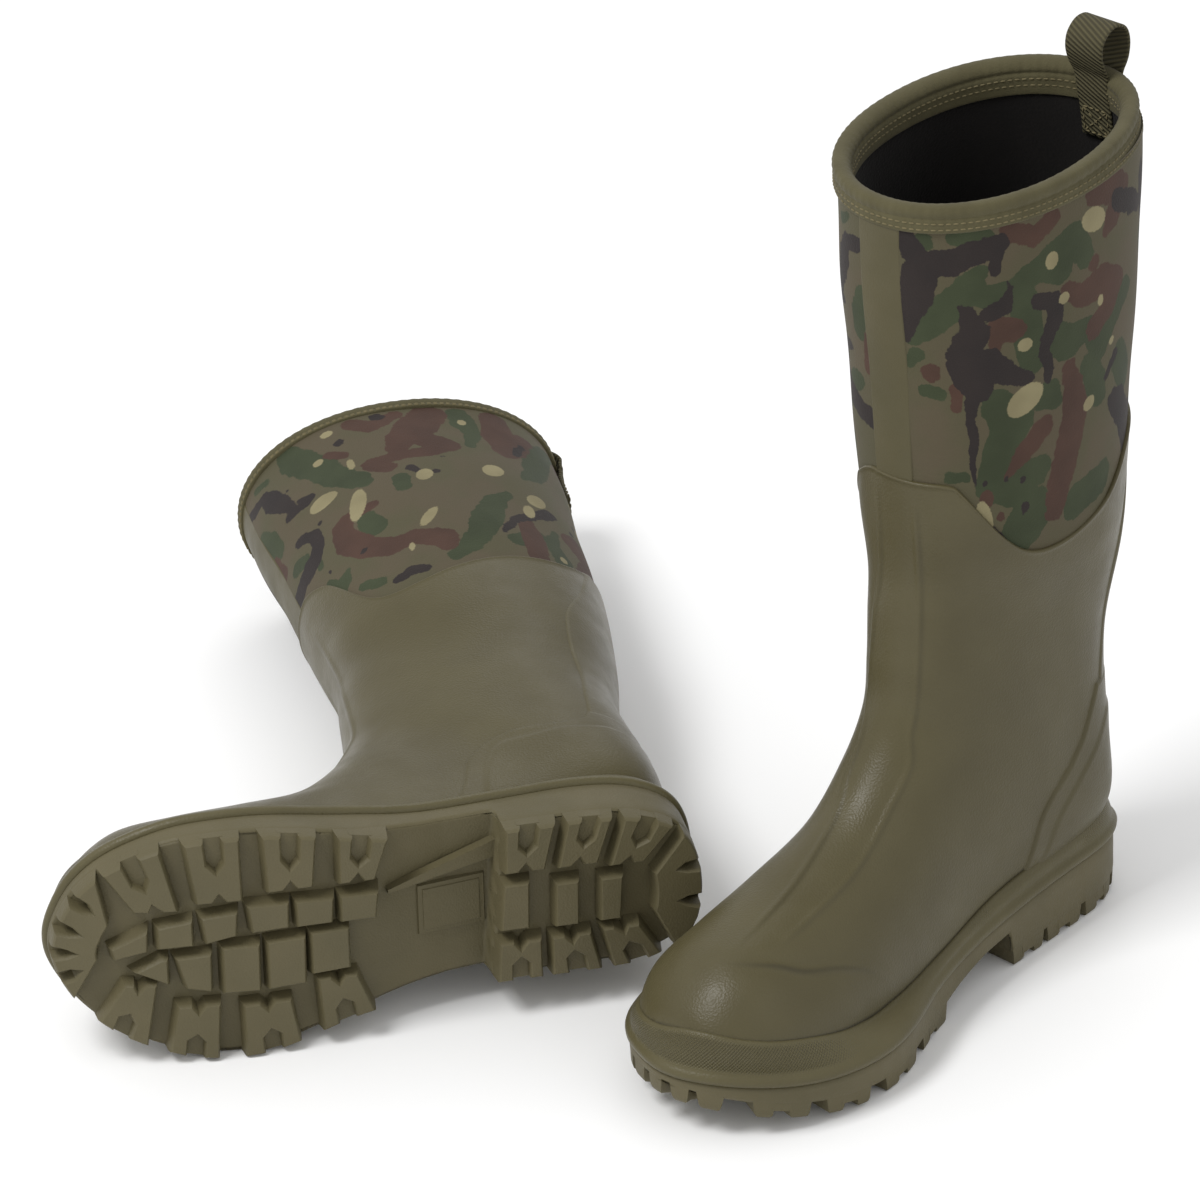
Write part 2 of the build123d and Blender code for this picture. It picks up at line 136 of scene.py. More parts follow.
def layer_stations(depth, side):
    """The stations moved inwards by depth, the left boot's upper shaft pressed flatter."""
    rows = STATIONS.copy()
    for first, turn in ((0, 1), (2, -1)):
        line = STATIONS[:, first:first + 2]
        along = unit(join([line[1:2] - line[:1], line[2:] - line[:-2], line[-1:] - line[-2:-1]]))
        into = rightwards(along) * -turn
        if turn < 0:
            into[0] = unit(np.array([-2.0, 1.0]))
        rows[:, first:first + 2] += into * depth
    narrower = np.full((len(rows), 1), float(depth))
    narrower[0] *= 0.7
    height = (rows[:, 1:2] + rows[:, 3:4]) / 2
    rows[:, 4:6] = (rows[:, 4:6] - narrower) * (1 - FLAT[side] * smooth(215, 411, height))
    return rows


def catmull(a, b, c, d, t):
    """A smooth curve through four points, between b and c."""
    return b + t * (c - a + t * (2 * a - 5 * b + 4 * c - d + t * (3 * (b - c) + d - a))) / 2


def surface(s, phi, depth, side):
    """Points of the layer at depth. s runs from toe to rim, phi from the front round by the
    inner side."""
    s, phi = np.broadcast_arrays(s, phi)
    rows = layer_stations(depth, side)
    padded = join([rows[:1], rows, rows[-1:]])
    i = np.clip(np.floor(s).astype(int), 0, len(rows) - 2)
    station = catmull(*(padded[i + k] for k in range(4)), (s - i)[..., None])
    fx, fz, bx, bz, medial, lateral, widest, front, back, middle = axes(station)
    cosine, sine = np.cos(phi), np.sin(phi)
    n = np.where(cosine >= 0, front, back)
    reach = (np.abs(cosine) ** n + np.abs(sine) ** n) ** (-1 / n)
    c, w = reach * cosine, reach * sine
    u = widest - c * np.where(c >= 0, widest, 1 - widest)
    y = middle + w * np.where(w >= 0, medial, lateral)
    return np.stack([fx + (bx - fx) * u, y, fz + (bz - fz) * u], -1)


def find_s(phi, depth, side, above, low, high):
    """For each phi, the s where above(points) turns positive."""
    lo, hi = np.full_like(phi, low), np.full_like(phi, high)
    for _ in range(30):
        mid = (lo + hi) / 2
        up = above(surface(mid, phi, depth, side)) > 0
        hi = np.where(up, mid, hi)
        lo = np.where(up, lo, mid)
    return (lo + hi) / 2


def to_rim(phi, depth, side, drop):
    """The s at a height from the rim plane."""
    return find_s(phi, depth, side, lambda p: rim_height(p) - drop, 11.5, 15)


def to_edge(phi, depth, side):
    """The s of the shell's wavy edge."""
    return find_s(phi, depth, side, shell_edge(side), 8.6, 14.5)


def between(low, high, rows, phi, depth, side):
    """Rows of a layer from one s to another."""
    return surface(low + (high - low) * np.linspace(0, 1, rows)[:, None], phi, depth, side)


def circle(count):
    """Angles all the way round."""
    return np.linspace(0, 2 * pi, count, endpoint=False)


def normals(grid, wrap):
    """Outward unit normals of a grid."""
    if wrap:
        across = np.roll(grid, -1, 1) - np.roll(grid, 1, 1)
    else:
        across = np.gradient(grid, axis=1)
    return unit(np.cross(across, np.gradient(grid, axis=0)))


def rim_height(p):
    """Height above the rim plane."""
    (fx, fz), (bx, bz) = RIM
    return p[..., 2] - (fz + (bz - fz) * (fx - p[..., 0]) / (fx - bx))


def rounded_table(points, width):
    """A function through (x, value) pairs, rounded over width."""
    xs, values = zip(*points)
    steps = np.linspace(-width, width, 9)
    weights = 1 - np.abs(steps) / (width * 1.1)
    weights /= weights.sum()
    return lambda x: sum(w * np.interp(x + d, xs, values) for w, d in zip(weights, steps))


sole_top = rounded_table(SOLE_TOP, 20)


def ground(x):
    """Height of the ground contact, springing up towards the toe."""
    return 18 * np.maximum((x - 205) / 100, 0) ** 2


# ---- meshes

def show(name, data):
    """A new object in the scene."""
    made = bpy.data.objects.new(name, data)
    bpy.context.scene.collection.objects.link(made)
    return made


def finish_mesh(name, side, points, faces, material, body="boot", fields=None,
                smooth_angle=None):
    """An object of a boot's points and faces, riding on its body."""
    mesh = bpy.data.meshes.new(f"{side}_{name}")
    if side == "left":
        faces = [tuple(reversed(f)) for f in faces]
    mesh.from_pydata(place(side, points).tolist(), [], faces)
    for key, values in (fields or {}).items():
        mesh.attributes.new(key, "FLOAT", "POINT").data.foreach_set(
            "value", np.asarray(values, np.float32).ravel())
    mesh.shade_smooth()
    if smooth_angle:
        mesh.set_sharp_from_angle(angle=radians(smooth_angle))
    mesh.materials.append(material)
    made = show(f"{side}_{name}", mesh)
    if body:
        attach(made, f"{side}_{body}")
    return made


def raised(grid, wrap, lift):
    """A grid moved out along its normals."""
    return grid + normals(grid, wrap) * lift[..., None]


def grid_faces(rows, columns, wrap, keep=None):
    """Quads that face outwards when rows go up and columns go round."""
    i, j = np.meshgrid(np.arange(rows - 1), np.arange(columns if wrap else columns - 1),
                       indexing="ij")
    if keep is not None:
        here, following = keep[:, :-1], keep[:, 1:]
        used = here[:-1] | here[1:] | following[:-1] | following[1:]
        i, j = i[used], j[used]
    low, right = i * columns, (j + 1) % columns
    corners = [low + j, low + right, low + columns + right, low + columns + j]
    return np.stack(corners, -1).reshape(-1, 4).tolist()


def compact(points, faces):
    """Drops the points that no face uses."""
    faces = np.array(faces)
    used = np.unique(faces)
    order = np.full(len(points), -1)
    order[used] = np.arange(len(used))
    return points[used], order[faces].tolist()


def grid_object(name, side, grid, material, body="boot", wrap=True, keep=None, inside=False,
                fields=None):
    """A grid of points as an object."""
    faces = grid_faces(*grid.shape[:2], wrap, keep)
    points = grid.reshape(-1, 3)
    if inside:
        faces = [tuple(reversed(f)) for f in faces]
    if keep is not None:
        points, faces = compact(points, faces)
    return finish_mesh(name, side, points, faces, material, body, fields)


def skin(name, side, grid, material, slot, **options):
    """A grid of points that replaces the CAD piece of the same name."""
    made = grid_object(name, side, grid, material, **options)
    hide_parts(f"{side}_{name}")


# ---- materials

def linear(rgb):
    """An sRGB colour, 0 to 255, as linear values with alpha."""
    c = np.array(rgb) / 255
    return (*np.where(c <= 0.04045, c / 12.92, ((c + 0.055) / 1.055) ** 2.4), 1.0)


SPECULAR_LEVEL = 0.27


class Nodes:
    """A material and short ways to add nodes to it."""

    def __init__(self, name, roughness):
        self.material = bpy.data.materials.new(name)
        self.material.use_nodes = True
        self.tree = self.material.node_tree
        self.shader = self.tree.nodes["Principled BSDF"]
        self.fix("Roughness", roughness)
        self.fix("Specular IOR Level", SPECULAR_LEVEL)
        self.coordinates = self.tree.nodes.new("ShaderNodeTexCoord").outputs["Object"]

    def add(self, kind, inputs=None, **settings):
        """A node with its settings, and its inputs as values or sockets."""
        node = self.tree.nodes.new(kind)
        for key, value in settings.items():
            setattr(node, key, value)
        for key, value in (inputs or {}).items():
            if isinstance(value, bpy.types.NodeSocket):
                self.tree.links.new(value, node.inputs[key])
            else:
                node.inputs[key].default_value = value
        return node

    def noise(self, size, detail=2.0, rough=0.5):
        """Noise with features of size millimetres."""
        return self.add("ShaderNodeTexNoise", {"Vector": self.coordinates,
                        "Scale": 1000 / size, "Detail": detail, "Roughness": rough}).outputs["Fac"]

    def cells(self, size):
        """Distances within cells of size millimetres."""
        return self.add("ShaderNodeTexVoronoi", {"Vector": self.coordinates,
                        "Scale": 1000 / size}).outputs["Distance"]

    def maths(self, operation, a, b=0.0):
        """A maths node's value."""
        return self.add("ShaderNodeMath", {0: a, 1: b}, operation=operation).outputs[0]

    def add_up(self, a, b):
        """The sum of two values."""
        return self.maths("ADD", a, b)

    def times(self, a, b):
        """The product of two values."""
        return self.maths("MULTIPLY", a, b)

    def sine(self, a):
        """The sine of a value."""
        return self.maths("SINE", a)

    def span(self, value, low, high, to_low=0.0, to_high=1.0):
        """A value moved from one span to another, and kept inside it."""
        return self.add("ShaderNodeMapRange", {"Value": value, "From Min": low,
                        "From Max": high, "To Min": to_low, "To Max": to_high}).outputs[0]

    def mix(self, factor, a, b):
        """A colour between a and b."""
        return self.add("ShaderNodeMix", {"Factor": factor, "A": a, "B": b},
                        data_type="RGBA").outputs["Result"]

    def field(self, name):
        """A value stored on the mesh."""
        return self.add("ShaderNodeAttribute", attribute_name=name).outputs["Fac"]

    def drift(self, dark, light, size):
        """A colour that drifts between two tones over size millimetres."""
        return self.mix(self.span(self.noise(size, 3), 0.3, 0.7), linear(dark), linear(light))

    def fix(self, name, value):
        """Sets one of the shader's inputs."""
        self.shader.inputs[name].default_value = value

    def drive(self, name, value):
        """Links a value to one of the shader's inputs."""
        self.tree.links.new(value, self.shader.inputs[name])

    def bump(self, height, distance):
        """A bump of distance millimetres."""
        node = self.add("ShaderNodeBump", {"Height": height, "Strength": 1.0,
                        "Distance": distance / 1000})
        self.drive("Normal", node.outputs[0])


# How dark the painted shade in the shell's creases is, as a share of the dark tone.
CREASE_SHADE = 0.62
KNURL_PITCH = 1.7
CAMO_BASE = ((80, 72, 55), (76, 72, 52))


def rubber(name, dark, light, grain, roughness, knurl=0.0):
    """Moulded rubber with a pebbled skin, or with a knurl stored on the mesh, darkened by painted
    shade where the mesh stores it.
    """
    n = Nodes(name, roughness)
    # deep is the painted shade colour, mixed in where the mesh's crease field is high.
    deep = linear([c * CREASE_SHADE for c in dark])
    n.drive("Base Color", n.mix(n.span(n.field("crease"), 0, 1), n.drift(dark, light, 40), deep))
    height = n.add_up(n.cells(1.1), n.times(n.noise(0.7), 0.5))
    if knurl:
        waves = [n.sine(n.times(n.field(key), 2 * pi / KNURL_PITCH)) for key in ("around", "up")]
        height = n.add_up(height, n.times(n.times(*waves), n.times(n.field("knurl"), knurl)))
    n.bump(height, grain)
    n.drive("Roughness", n.span(n.noise(14, 3), 0.3, 0.7, roughness - 0.05, roughness + 0.06))
    return n.material


def cloth(name, dark, light, thread=0.9, depth=0.12, roughness=0.85):
    """A fine knit or weave."""
    n = Nodes(name, roughness)
    n.drive("Base Color", n.drift(dark, light, 12))
    n.bump(n.add_up(n.cells(thread), n.noise(thread * 0.6)), depth)
    n.fix("Sheen Weight", 0.06)
    return n.material


def ribbed(name, dark, light):
    """Webbing whose ribs are stored on the mesh, with painted shade in the troughs of the ribs."""
    n = Nodes(name, 0.8)
    wave = n.sine(n.times(n.field("ribs"), 2 * pi))
    # The colour is darker in the ribs' troughs and lighter on their crests, in step with the bump:
    # painted shade.
    n.drive("Base Color", n.mix(n.span(wave, -1, 0.6), linear(dark), linear(light)))
    n.bump(n.add_up(wave, n.times(n.noise(0.5), 0.6)), 0.28)
    return n.material


CAMO_LAYERS = (
    ("green", (55, 62, 41), (48, 55, 35)),
    ("brown", (71, 50, 40), (63, 44, 35)),
    ("dark", (41, 34, 32), (36, 30, 29)),
    ("tan", (134, 126, 95), (121, 113, 84)),
)


def camouflage(name):
    """Printed knit whose patches are stored on the mesh."""
    n = Nodes(name, 0.8)
    small = n.span(n.noise(1.2, 1), 0, 1, -0.5, 0.5)
    worn = n.add_up(n.span(n.noise(7, 3, 0.6), 0, 1, -2.6, 2.6), small)
    base = n.mix(n.span(n.noise(30, 2), 0.4, 0.6), *map(linear, CAMO_BASE))
    for key, light, dark in CAMO_LAYERS:
        tone = n.mix(n.span(n.noise(22, 2), 0.35, 0.65), linear(light), linear(dark))
        edge = small if key == "tan" else worn
        base = n.mix(n.span(n.add_up(n.field(key), edge), -0.25, 0.25), base, tone)
    n.drive("Base Color", base)
    n.bump(n.add_up(n.cells(0.9), n.noise(0.6)), 0.10)
    n.fix("Sheen Weight", 0.04)
    return n.material


def plain(name, dark, light, roughness, metallic=0.0):
    """An inner material with a little variation."""
    n = Nodes(name, roughness)
    n.fix("Metallic", metallic)
    n.drive("Base Color", n.drift(dark, light, 15))
    n.bump(n.noise(1.5, 3), 0.1)
    return n.material


SHELL_RUBBER = rubber("shell_rubber", (76, 70, 47), (82, 76, 52), 0.11, 0.37)
KNURL_RUBBER = rubber("knurled_rubber", (81, 75, 51), (87, 81, 56), 0.12, 0.40, 3.0)
STRIP_RUBBER = rubber("strip_rubber", (75, 70, 47), (81, 75, 51), 0.06, 0.5)
SOLE_RUBBER = rubber("sole_rubber", (86, 80, 57), (93, 86, 62), 0.12, 0.52)
BINDING_CLOTH = cloth("binding_cloth", (77, 72, 49), (84, 79, 55))
LINING_CLOTH = cloth("lining_cloth", (15, 13, 11), (19, 16, 14), 1.4, 0.2, 0.95)
STITCH_THREAD = cloth("stitch_thread", (101, 93, 66), (113, 104, 75), 0.5, 0.1)
# The darker tone is the painted shade in the troughs of the webbing's ribs.
WEBBING_CLOTH = ribbed("webbing_cloth", (59, 55, 38), (84, 79, 56))
CAMO_CLOTH = camouflage("camo_cloth")
NEOPRENE = plain("neoprene_foam", (34, 34, 32), (44, 43, 40), 0.9)
INNER_PIECES = {
    "midsole": plain("midsole_foam", (70, 66, 58), (80, 76, 66), 0.9),
    "shank": plain("shank_steel", (120, 122, 124), (138, 140, 142), 0.4, 0.9),
    "insole_board": plain("board_fibre", (120, 104, 80), (132, 116, 90), 0.85),
    "footbed": plain("footbed_felt", (42, 38, 34), (54, 48, 42), 0.95),
}


# ---- the shell and what lies on it

def spline(points, steps=8):
    """A smooth line through points."""
    p = np.array(points, float)
    padded = join([2 * p[:1] - p[1:2], p, 2 * p[-1:] - p[-2:-1]])
    out = [catmull(*padded[k:k + 4], t) for k in range(len(p) - 1) for t in np.arange(steps) / steps]
    return np.array(out + [p[-1]])


def stroke_distance(p, line, radii):
    """Distance inside a stroke whose radius changes along it."""
    best = np.full(p.shape[:-1], -1e9)
    for a, b, start, end in zip(line, line[1:], radii, radii[1:]):
        d = b - a
        t = np.clip((p - a) @ d / max(d @ d, 1e-9), 0, 1)
        near = norm(p - a - t[..., None] * d, axis=-1)
        best = np.maximum(best, start + (end - start) * t - near)
    return best


def line_distance(p, line):
    """Distance to a line."""
    return -stroke_distance(p, line, np.zeros(len(line)))


def inside_distance(p, polygon):
    """Distance inside a closed outline."""
    x, z = axes(p)
    loop = closed(polygon)
    within = np.zeros(x.shape, bool)
    for (ax, az), (bx, bz) in zip(loop, loop[1:]):
        if az != bz:
            within ^= ((az > z) != (bz > z)) & (x < ax + (bx - ax) * (z - az) / (bz - az))
    return np.where(within, 1, -1) * line_distance(p, loop)


EDGE_MEDIAL = [(170, 266), (140, 266), (128, 265.5), (123.5, 260), (117, 249), (109, 237),
               (100, 227.5), (92, 223), (82, 221.5), (66, 223.5), (45, 230), (31, 238.5),
               (21, 247), (11, 253), (0, 256), (-10, 256.5), (-40, 256.5)]
EDGE_LATERAL = [(170, 284), (138, 284), (134, 282.5), (130, 277.6), (125, 270), (120, 257),
                (115, 244), (109, 233.5), (100, 228), (86, 229), (70, 233.5), (56, 236.5),
                (41, 238.5), (25, 240.5), (12, 244), (3, 250), (-4, 255), (-12, 256.5),
                (-40, 256.5)]
FRONT_EDGE = {"right": 266.0, "left": 284.0}


def shell_edge(side):
    """A function for the height above the shell's wavy top edge."""
    lines = []
    for line in (EDGE_MEDIAL, EDGE_LATERAL):
        p = spline(line, 6)[::-1]
        rise = (FRONT_EDGE[side] - line[0][1]) * smooth(104, 130, p[:, 0])
        lines.append((p[:, 0], p[:, 1] + rise))

    def above(p):
        x, y, z = axes(p)
        medial, lateral = (np.interp(x, *line) for line in lines)
        return z - np.where(y >= 0, medial, lateral)

    return above


COUNTER_MEDIAL = [(34, 124), (39, 115), (46, 104), (56, 94.5), (68, 82.5), (76.5, 70), (82, 55),
                  (88, 42), (92, 30)]
COUNTER_LATERAL = [(33, 100), (36, 94), (42, 92), (50, 91), (66, 92.8), (78, 91), (89, 84.4),
                   (96.6, 75), (101.5, 58), (106, 46), (110, 30)]
INNER_MEDIAL = [(22, 104), (33, 95.7), (48, 86), (59, 74), (66.5, 63), (72, 51), (79, 42),
                (84, 30)]
INNER_LATERAL = [(25.6, 85), (35, 84), (48, 85), (63, 84), (78, 83.5), (86, 72.5), (91, 56),
                 (95, 30)]
STAY_LINE = [(-2.5, 262), (3, 243), (10, 223), (20, 202), (24, 188), (26.6, 165), (27, 144),
             (30.6, 116), (32.5, 98)]


def reach_back(p, line, foot, top):
    """Distance inside the side view that reaches back from a line."""
    outline = join([spline(line, 5), [foot, (-90, foot[1]), (-90, top)]])
    return inside_distance(p[..., [0, 2]], outline)


def counter_distance(p, lines, above):
    """Distance inside an overlay that reaches back from a line on each side."""
    medial, lateral = (reach_back(p, line, (line[-1][0], -60), line[0][1] + above)
                       for line in lines)
    return np.where(p[..., 1] >= 0, medial, lateral)


RIDGES = (
    [(138.5, -12, 262), (135.5, -14, 215), (135.6, -16, 180), (136.6, -16, 150),
     (146, -12, 134.5), (160, -10, 118), (175, -5, 107), (196, -.5, 96), (218, 2.8, 89),
     (240, 4, 83), (262, 5, 78)],
    [(138.5, 12, 262), (135.5, 12, 215), (136, 12.2, 180), (138.2, 12.3, 150),
     (142, 12.6, 137), (147, 15.3, 124), (162, 15.8, 108), (180, 17.6, 96),
     (199, 19.5, 88), (228, 19.8, 82), (250, 20, 77)],
)
RIDGE_WIDTH, RIDGE_HEIGHT = 1.7, 0.75
TOE_CREASE = [(269, 8, 75), (262, 17.5, 75), (253, 26, 73), (243, 34, 68), (227, 38.7, 64),
              (211, 42.5, 57), (198, 44.7, 45)]


def on_surface(line, grid):
    """The grid points nearest to a line."""
    flat = grid.reshape(-1, 3)
    return np.array([flat[np.argmin(((flat - q) ** 2).sum(1))] for q in line])


def fading(line, p, width, height):
    """A soft ridge along a line, lower towards its ends."""
    near = line_distance(p, spline(line, 4))
    ends = np.minimum(norm(p - line[0], axis=-1), norm(p - line[-1], axis=-1))
    return height * np.exp(-(near / width) ** 2) * smooth(-5, 35, ends)


def shell_grid(side):
    """The shell's grid, its last row on the wavy edge."""
    phi = circle(330)
    top = to_edge(phi, 0, side)
    for _ in range(2):
        top = (np.roll(top, 1) + 2 * top + np.roll(top, -1)) / 4
    low = join([np.linspace(0, 1, 16), np.linspace(1, 8.5, 225)[1:]])[:, None]
    high = 8.5 + (top - 8.5) * np.linspace(0, 1, 56)[1:, None]
    return surface(join([np.repeat(low, len(phi), 1), high]), phi, 0, side)


def make_shell(side):
    """The rubber foot and ankle, with its ridges and rolled top edge, and painted shade along its
    creases.
    """
    grid = shell_grid(side)
    out = normals(grid, True)
    x, y, z = axes(grid)
    lift = 0.35 * np.sin(z / 21 + y / 17) * smooth(-280, -200, rim_height(grid))
    # shade is painted shade, kept on the mesh as crease: a dark band just above the foxing band's top
    # edge, a line beside each ridge and one beside the toe crease.
    shade = np.exp(-((z - fox_height(x, y) - 0.9) / 0.9) ** 2)
    for ridge in RIDGES:
        line = on_surface(ridge, grid)
        lift += fading(line, grid, RIDGE_WIDTH, RIDGE_HEIGHT)
        shade += fading(line + [0, 1.6, 0], grid, 1.1, 0.35)
    crease = on_surface(TOE_CREASE, grid)
    lift += fading(crease, grid, 2.2, 1.1) - fading(crease + [4, -4, 0], grid, 5.5, 1.5)
    shade += fading(crease + [1.6, -1.2, 0], grid, 1.4, 0.7)
    grid = grid + out * lift[..., None]
    edge = [grid[-1] + out[-1] * away + [0, 0, up]
            for away, up in ((0.35, 0.5), (0.3, 1.0), (-0.1, 1.4), (-1.2, 1.5), (-2.4, 1.0))]
    tip = grid[0].mean(0)
    cap = [tip + (grid[0] - tip) * k + [2.2 * (1 - k * k), 0, 0] for k in (0.02, 0.35, 0.65, 0.86)]
    shade = np.pad(shade, ((len(cap), len(edge)), (0, 0)))
    grid = join([cap, grid, edge])
    skin("rubber_shell", side, grid, SHELL_RUBBER, "shell_rubber", fields={"crease": shade})


def overlay(name, side, low, high, share, lift_at, rows=200, columns=220, cut=-1.2):
    """A sheet round the back of the boot that dips under it where lift_at(points) is negative."""
    s, phi = np.meshgrid(np.linspace(low, high, rows),
                         np.linspace(share * pi, (2 - share) * pi, columns), indexing="ij")
    grid = surface(s, phi, 0, side)
    lift = lift_at(grid)
    skin(name, side, raised(grid, False, lift), SHELL_RUBBER, "shell_rubber", wrap=False,
         keep=lift > cut)


def counter_lift(p):
    """Height of the heel counter and its inner panel over the shell."""
    outer = counter_distance(p, (COUNTER_MEDIAL, COUNTER_LATERAL), 0)
    inner = counter_distance(p, (INNER_MEDIAL, INNER_LATERAL), 2)
    return -1.3 + 2.5 * smooth(-1.6, 1.6, outer) + 0.9 * smooth(-1.2, 1.8, inner)


def stay_lift(p):
    """Height of the back stay over the shell."""
    edge = reach_back(p, STAY_LINE, (30, 60), 262)
    return -1.3 + 2.2 * smooth(-1.6, 1.6, edge) * smooth(-258.5, -255.5, -p[..., 2])


def spur_lift(p):
    """Height of the kick ledge over the shell."""
    x, y, z = axes(p)
    across = smooth(-26, -14, -np.abs(y)) * smooth(-40, -18, -x)
    return -1.4 + 6.2 * smooth(45, 49, z) * smooth(-64, -58, -z) * across


# ---- printed panels and strip

# Patches as strokes, each a run of distance round from the front, height and radius, and spots of
# distance, height, two half-widths and tilt. Millimetres and degrees.
INNER_PANEL = {
    "green": [
        (22, 394, 5), (36, 396, 4, 50, 395, 5), (15, 346, 6, 30, 359, 8, 44, 373, 7, 47, 377, 5),
        (50, 365, 6, 64, 367, 5, 82, 375, 8, 98, 381, 9, 106, 369, 6),
        (70, 357, 8, 72, 339, 8, 74, 327, 8), (90, 368, 7, 70, 372, 4),
        (84, 335, 8, 94, 329, 9, 108, 331, 6, 118, 319, 9, 130, 331, 8, 140, 337, 7),
        (56, 307, 9, 66, 295, 12, 60, 279, 12, 54, 266, 9, 70, 263, 12, 84, 267, 8),
        (82, 245, 13, 72, 231, 11), (84, 305, 8, 90, 300, 4), (110, 241, 9, 130, 245, 9),
        (110, 311, 7, 118, 299, 8, 122, 291, 6), (140, 303, 9, 152, 290, 9), (18, 317, 3, 26, 315, 3),
        (28, 271, 3, 38, 271, 3), (16, 336, 4, 12, 331, 3),
    ],
    "brown": [
        (62, 396, 5, 74, 390, 5, 84, 396, 5),
        (112, 398, 6, 128, 395, 9, 136, 390, 8, 128, 380, 7, 122, 375, 3), (56, 347, 7, 64, 345, 6),
        (54, 339, 4), (94, 357, 4, 102, 350, 6, 118, 351, 9, 130, 345, 8, 122, 335, 7, 112, 329, 6),
        (112, 363, 4), (95, 316, 4, 100, 303, 7, 104, 287, 9, 102, 271, 9, 98, 255, 8, 96, 242, 6),
        (84, 289, 6, 76, 279, 6, 66, 268, 2), (22, 327, 5), (33, 318, 4, 33, 308, 3), (53, 258, 5),
        (63, 248, 3),
    ],
    "dark": [
        (14, 397, 4, 16, 391, 5, 22, 383, 7, 36, 385, 7, 50, 389, 6, 57, 391, 5),
        (57, 391, 3, 55, 377, 3), (20, 377, 9, 18, 365, 7, 14, 351, 4, 12, 343, 2),
        (38, 361, 2, 42, 356, 5, 44, 347, 8, 38, 335, 9, 40, 326, 10, 46, 318, 8),
        (50, 356, 4, 60, 358, 4, 62, 367, 2, 61, 371, 1), (50, 331, 8, 60, 323, 6, 71, 318, 4),
        (42, 310, 5, 41, 301, 3, 44, 291, 3.5, 43, 279, 2.5, 45, 267, 1),
        (77, 357, 4, 85, 354, 5, 87, 347, 5, 82, 337, 4, 80, 329, 3, 83, 319, 3, 83, 313, 1.5),
        (57, 240, 4, 63, 232, 6, 68, 225, 4), (78, 249, 3), (66, 267, 1.5), (52, 267, 1.8),
        (76, 264, 1.8), (132, 387, 5, 150, 377, 6, 160, 372, 4), (127, 298, 2, 135, 307, 3),
        (136, 283, 5, 146, 277, 9, 158, 262, 9, 168, 245, 8),
    ],
    "tan": [
        (112.5, 385, 9.5, 6, -20), (84.5, 375, 3.7, 4.5, 0), (92, 353, 3.3, 3, 0),
        (117, 341.5, 2.2, 3, 0), (69.5, 336, 4, 3.5, 0), (71.5, 306.5, 10, 7.5, 35),
        (129.5, 315.5, 2.5, 2, 0), (113.5, 290.5, 4.2, 3.8, 0), (51.5, 247.5, 5.8, 10.5, 20),
    ],
}
OUTER_PANEL = {
    "green": [
        (46, 398, 6, 49, 387, 9, 55, 377, 9, 62, 365, 9, 67, 352, 8, 77, 339, 7, 80, 335, 5),
        (11, 358, 6, 16, 347, 7, 18, 337, 5), (30, 390, 3, 22, 394, 2),
        (138, 396, 6, 140, 385, 7, 143, 374, 5, 139, 360, 3), (99, 328, 5, 100, 319, 5),
        (79, 301, 6, 84, 291, 7), (40, 291, 4), (42, 271, 5, 50, 259, 8, 60, 264, 6, 65, 269, 2),
        (71, 250, 3, 84, 244, 3.5),
        (156, 306, 4, 150, 298, 7, 145, 280, 9, 141, 268, 8, 133, 254, 6, 124, 247, 5),
        (22, 309, 5, 30, 306, 5), (158, 260, 6, 170, 268, 6),
    ],
    "brown": [
        (82, 396, 5, 92, 388, 6, 106, 397, 4), (122, 394, 10, 114, 380, 12, 106, 369, 9, 102, 361, 7),
        (118, 364, 8, 127, 358, 7, 120, 352, 5, 104, 352, 5, 86, 352, 4), (87, 350, 6, 93, 342, 5),
        (157, 395, 8, 158, 375, 10, 159, 361, 8), (172, 381, 6, 166, 366, 6), (67, 376, 3, 75, 368, 3),
        (64, 307, 6, 66, 292, 8, 80, 277, 7, 93, 268, 7, 105, 271, 6, 120, 263, 8, 122, 256, 5),
        (66, 310, 4, 82, 311, 4), (12, 321, 4, 11, 337, 3),
    ],
    "dark": [
        (9, 387, 3, 15, 383, 4, 25, 381, 4, 29, 371, 7, 34, 361, 6, 38, 351, 4),
        (34, 346, 3, 48, 345, 3.5), (44, 351, 2, 52, 347, 2.5),
        (31, 323, 3, 38, 321, 4, 45, 315, 6, 45, 306, 6, 36, 298, 7, 20, 294, 6, 9, 293, 6),
        (51, 322, 2), (74, 382, 3), (40, 367, 1.5), (105, 337, 3, 108, 333, 2), (118, 330, 2.5),
        (92, 240, 3, 100, 243, 4, 107, 241, 3), (152, 267, 2.5, 160, 282, 3, 172, 291, 4, 182, 299, 5),
        (123, 345, 1.5), (47, 279.5, 1.5), (77, 277, 2), (96, 397, 4),
    ],
    "tan": [
        (69.5, 394.5, 3.5, 3, 0), (61, 372.5, 3, 3, 0), (76.5, 357, 2, 5.5, 0), (56.5, 336, 9, 5.5, 5),
        (74.5, 317, 4.8, 12.8, -8), (111.5, 327.5, 4.6, 5.8, 0), (148, 331.5, 6, 6.5, 0),
        (139, 386.5, 2.5, 3, 0), (114, 285, 3.5, 8.5, -30), (102.5, 262.5, 1.7, 3.5, 0),
        (169, 294, 3.5, 6.5, 0),
    ],
}


def patch_distance(p, stroke):
    """Distance inside a stroke of the print."""
    rows = np.array(stroke, float).reshape(-1, 3)
    if len(rows) == 1:
        rows = rows.repeat(2, axis=0)
    return stroke_distance(p, rows[:, :2], rows[:, 2])


def spot_distance(p, spot):
    """Distance inside an elliptical spot, close to its edge."""
    a, z, wide, high, tilt = spot
    t = radians(tilt)
    q = (p - np.array([a, z])) @ np.array([[cos(t), -sin(t)], [sin(t), cos(t)]])
    scaled = norm(q / np.array([wide, high]), axis=-1)
    return (1 - scaled) * min(wide, high)


PANEL_DEPTH = 1.0
REPEAT_AT = 161.0
REPEAT_TURN = np.array([322.0, 640.0])


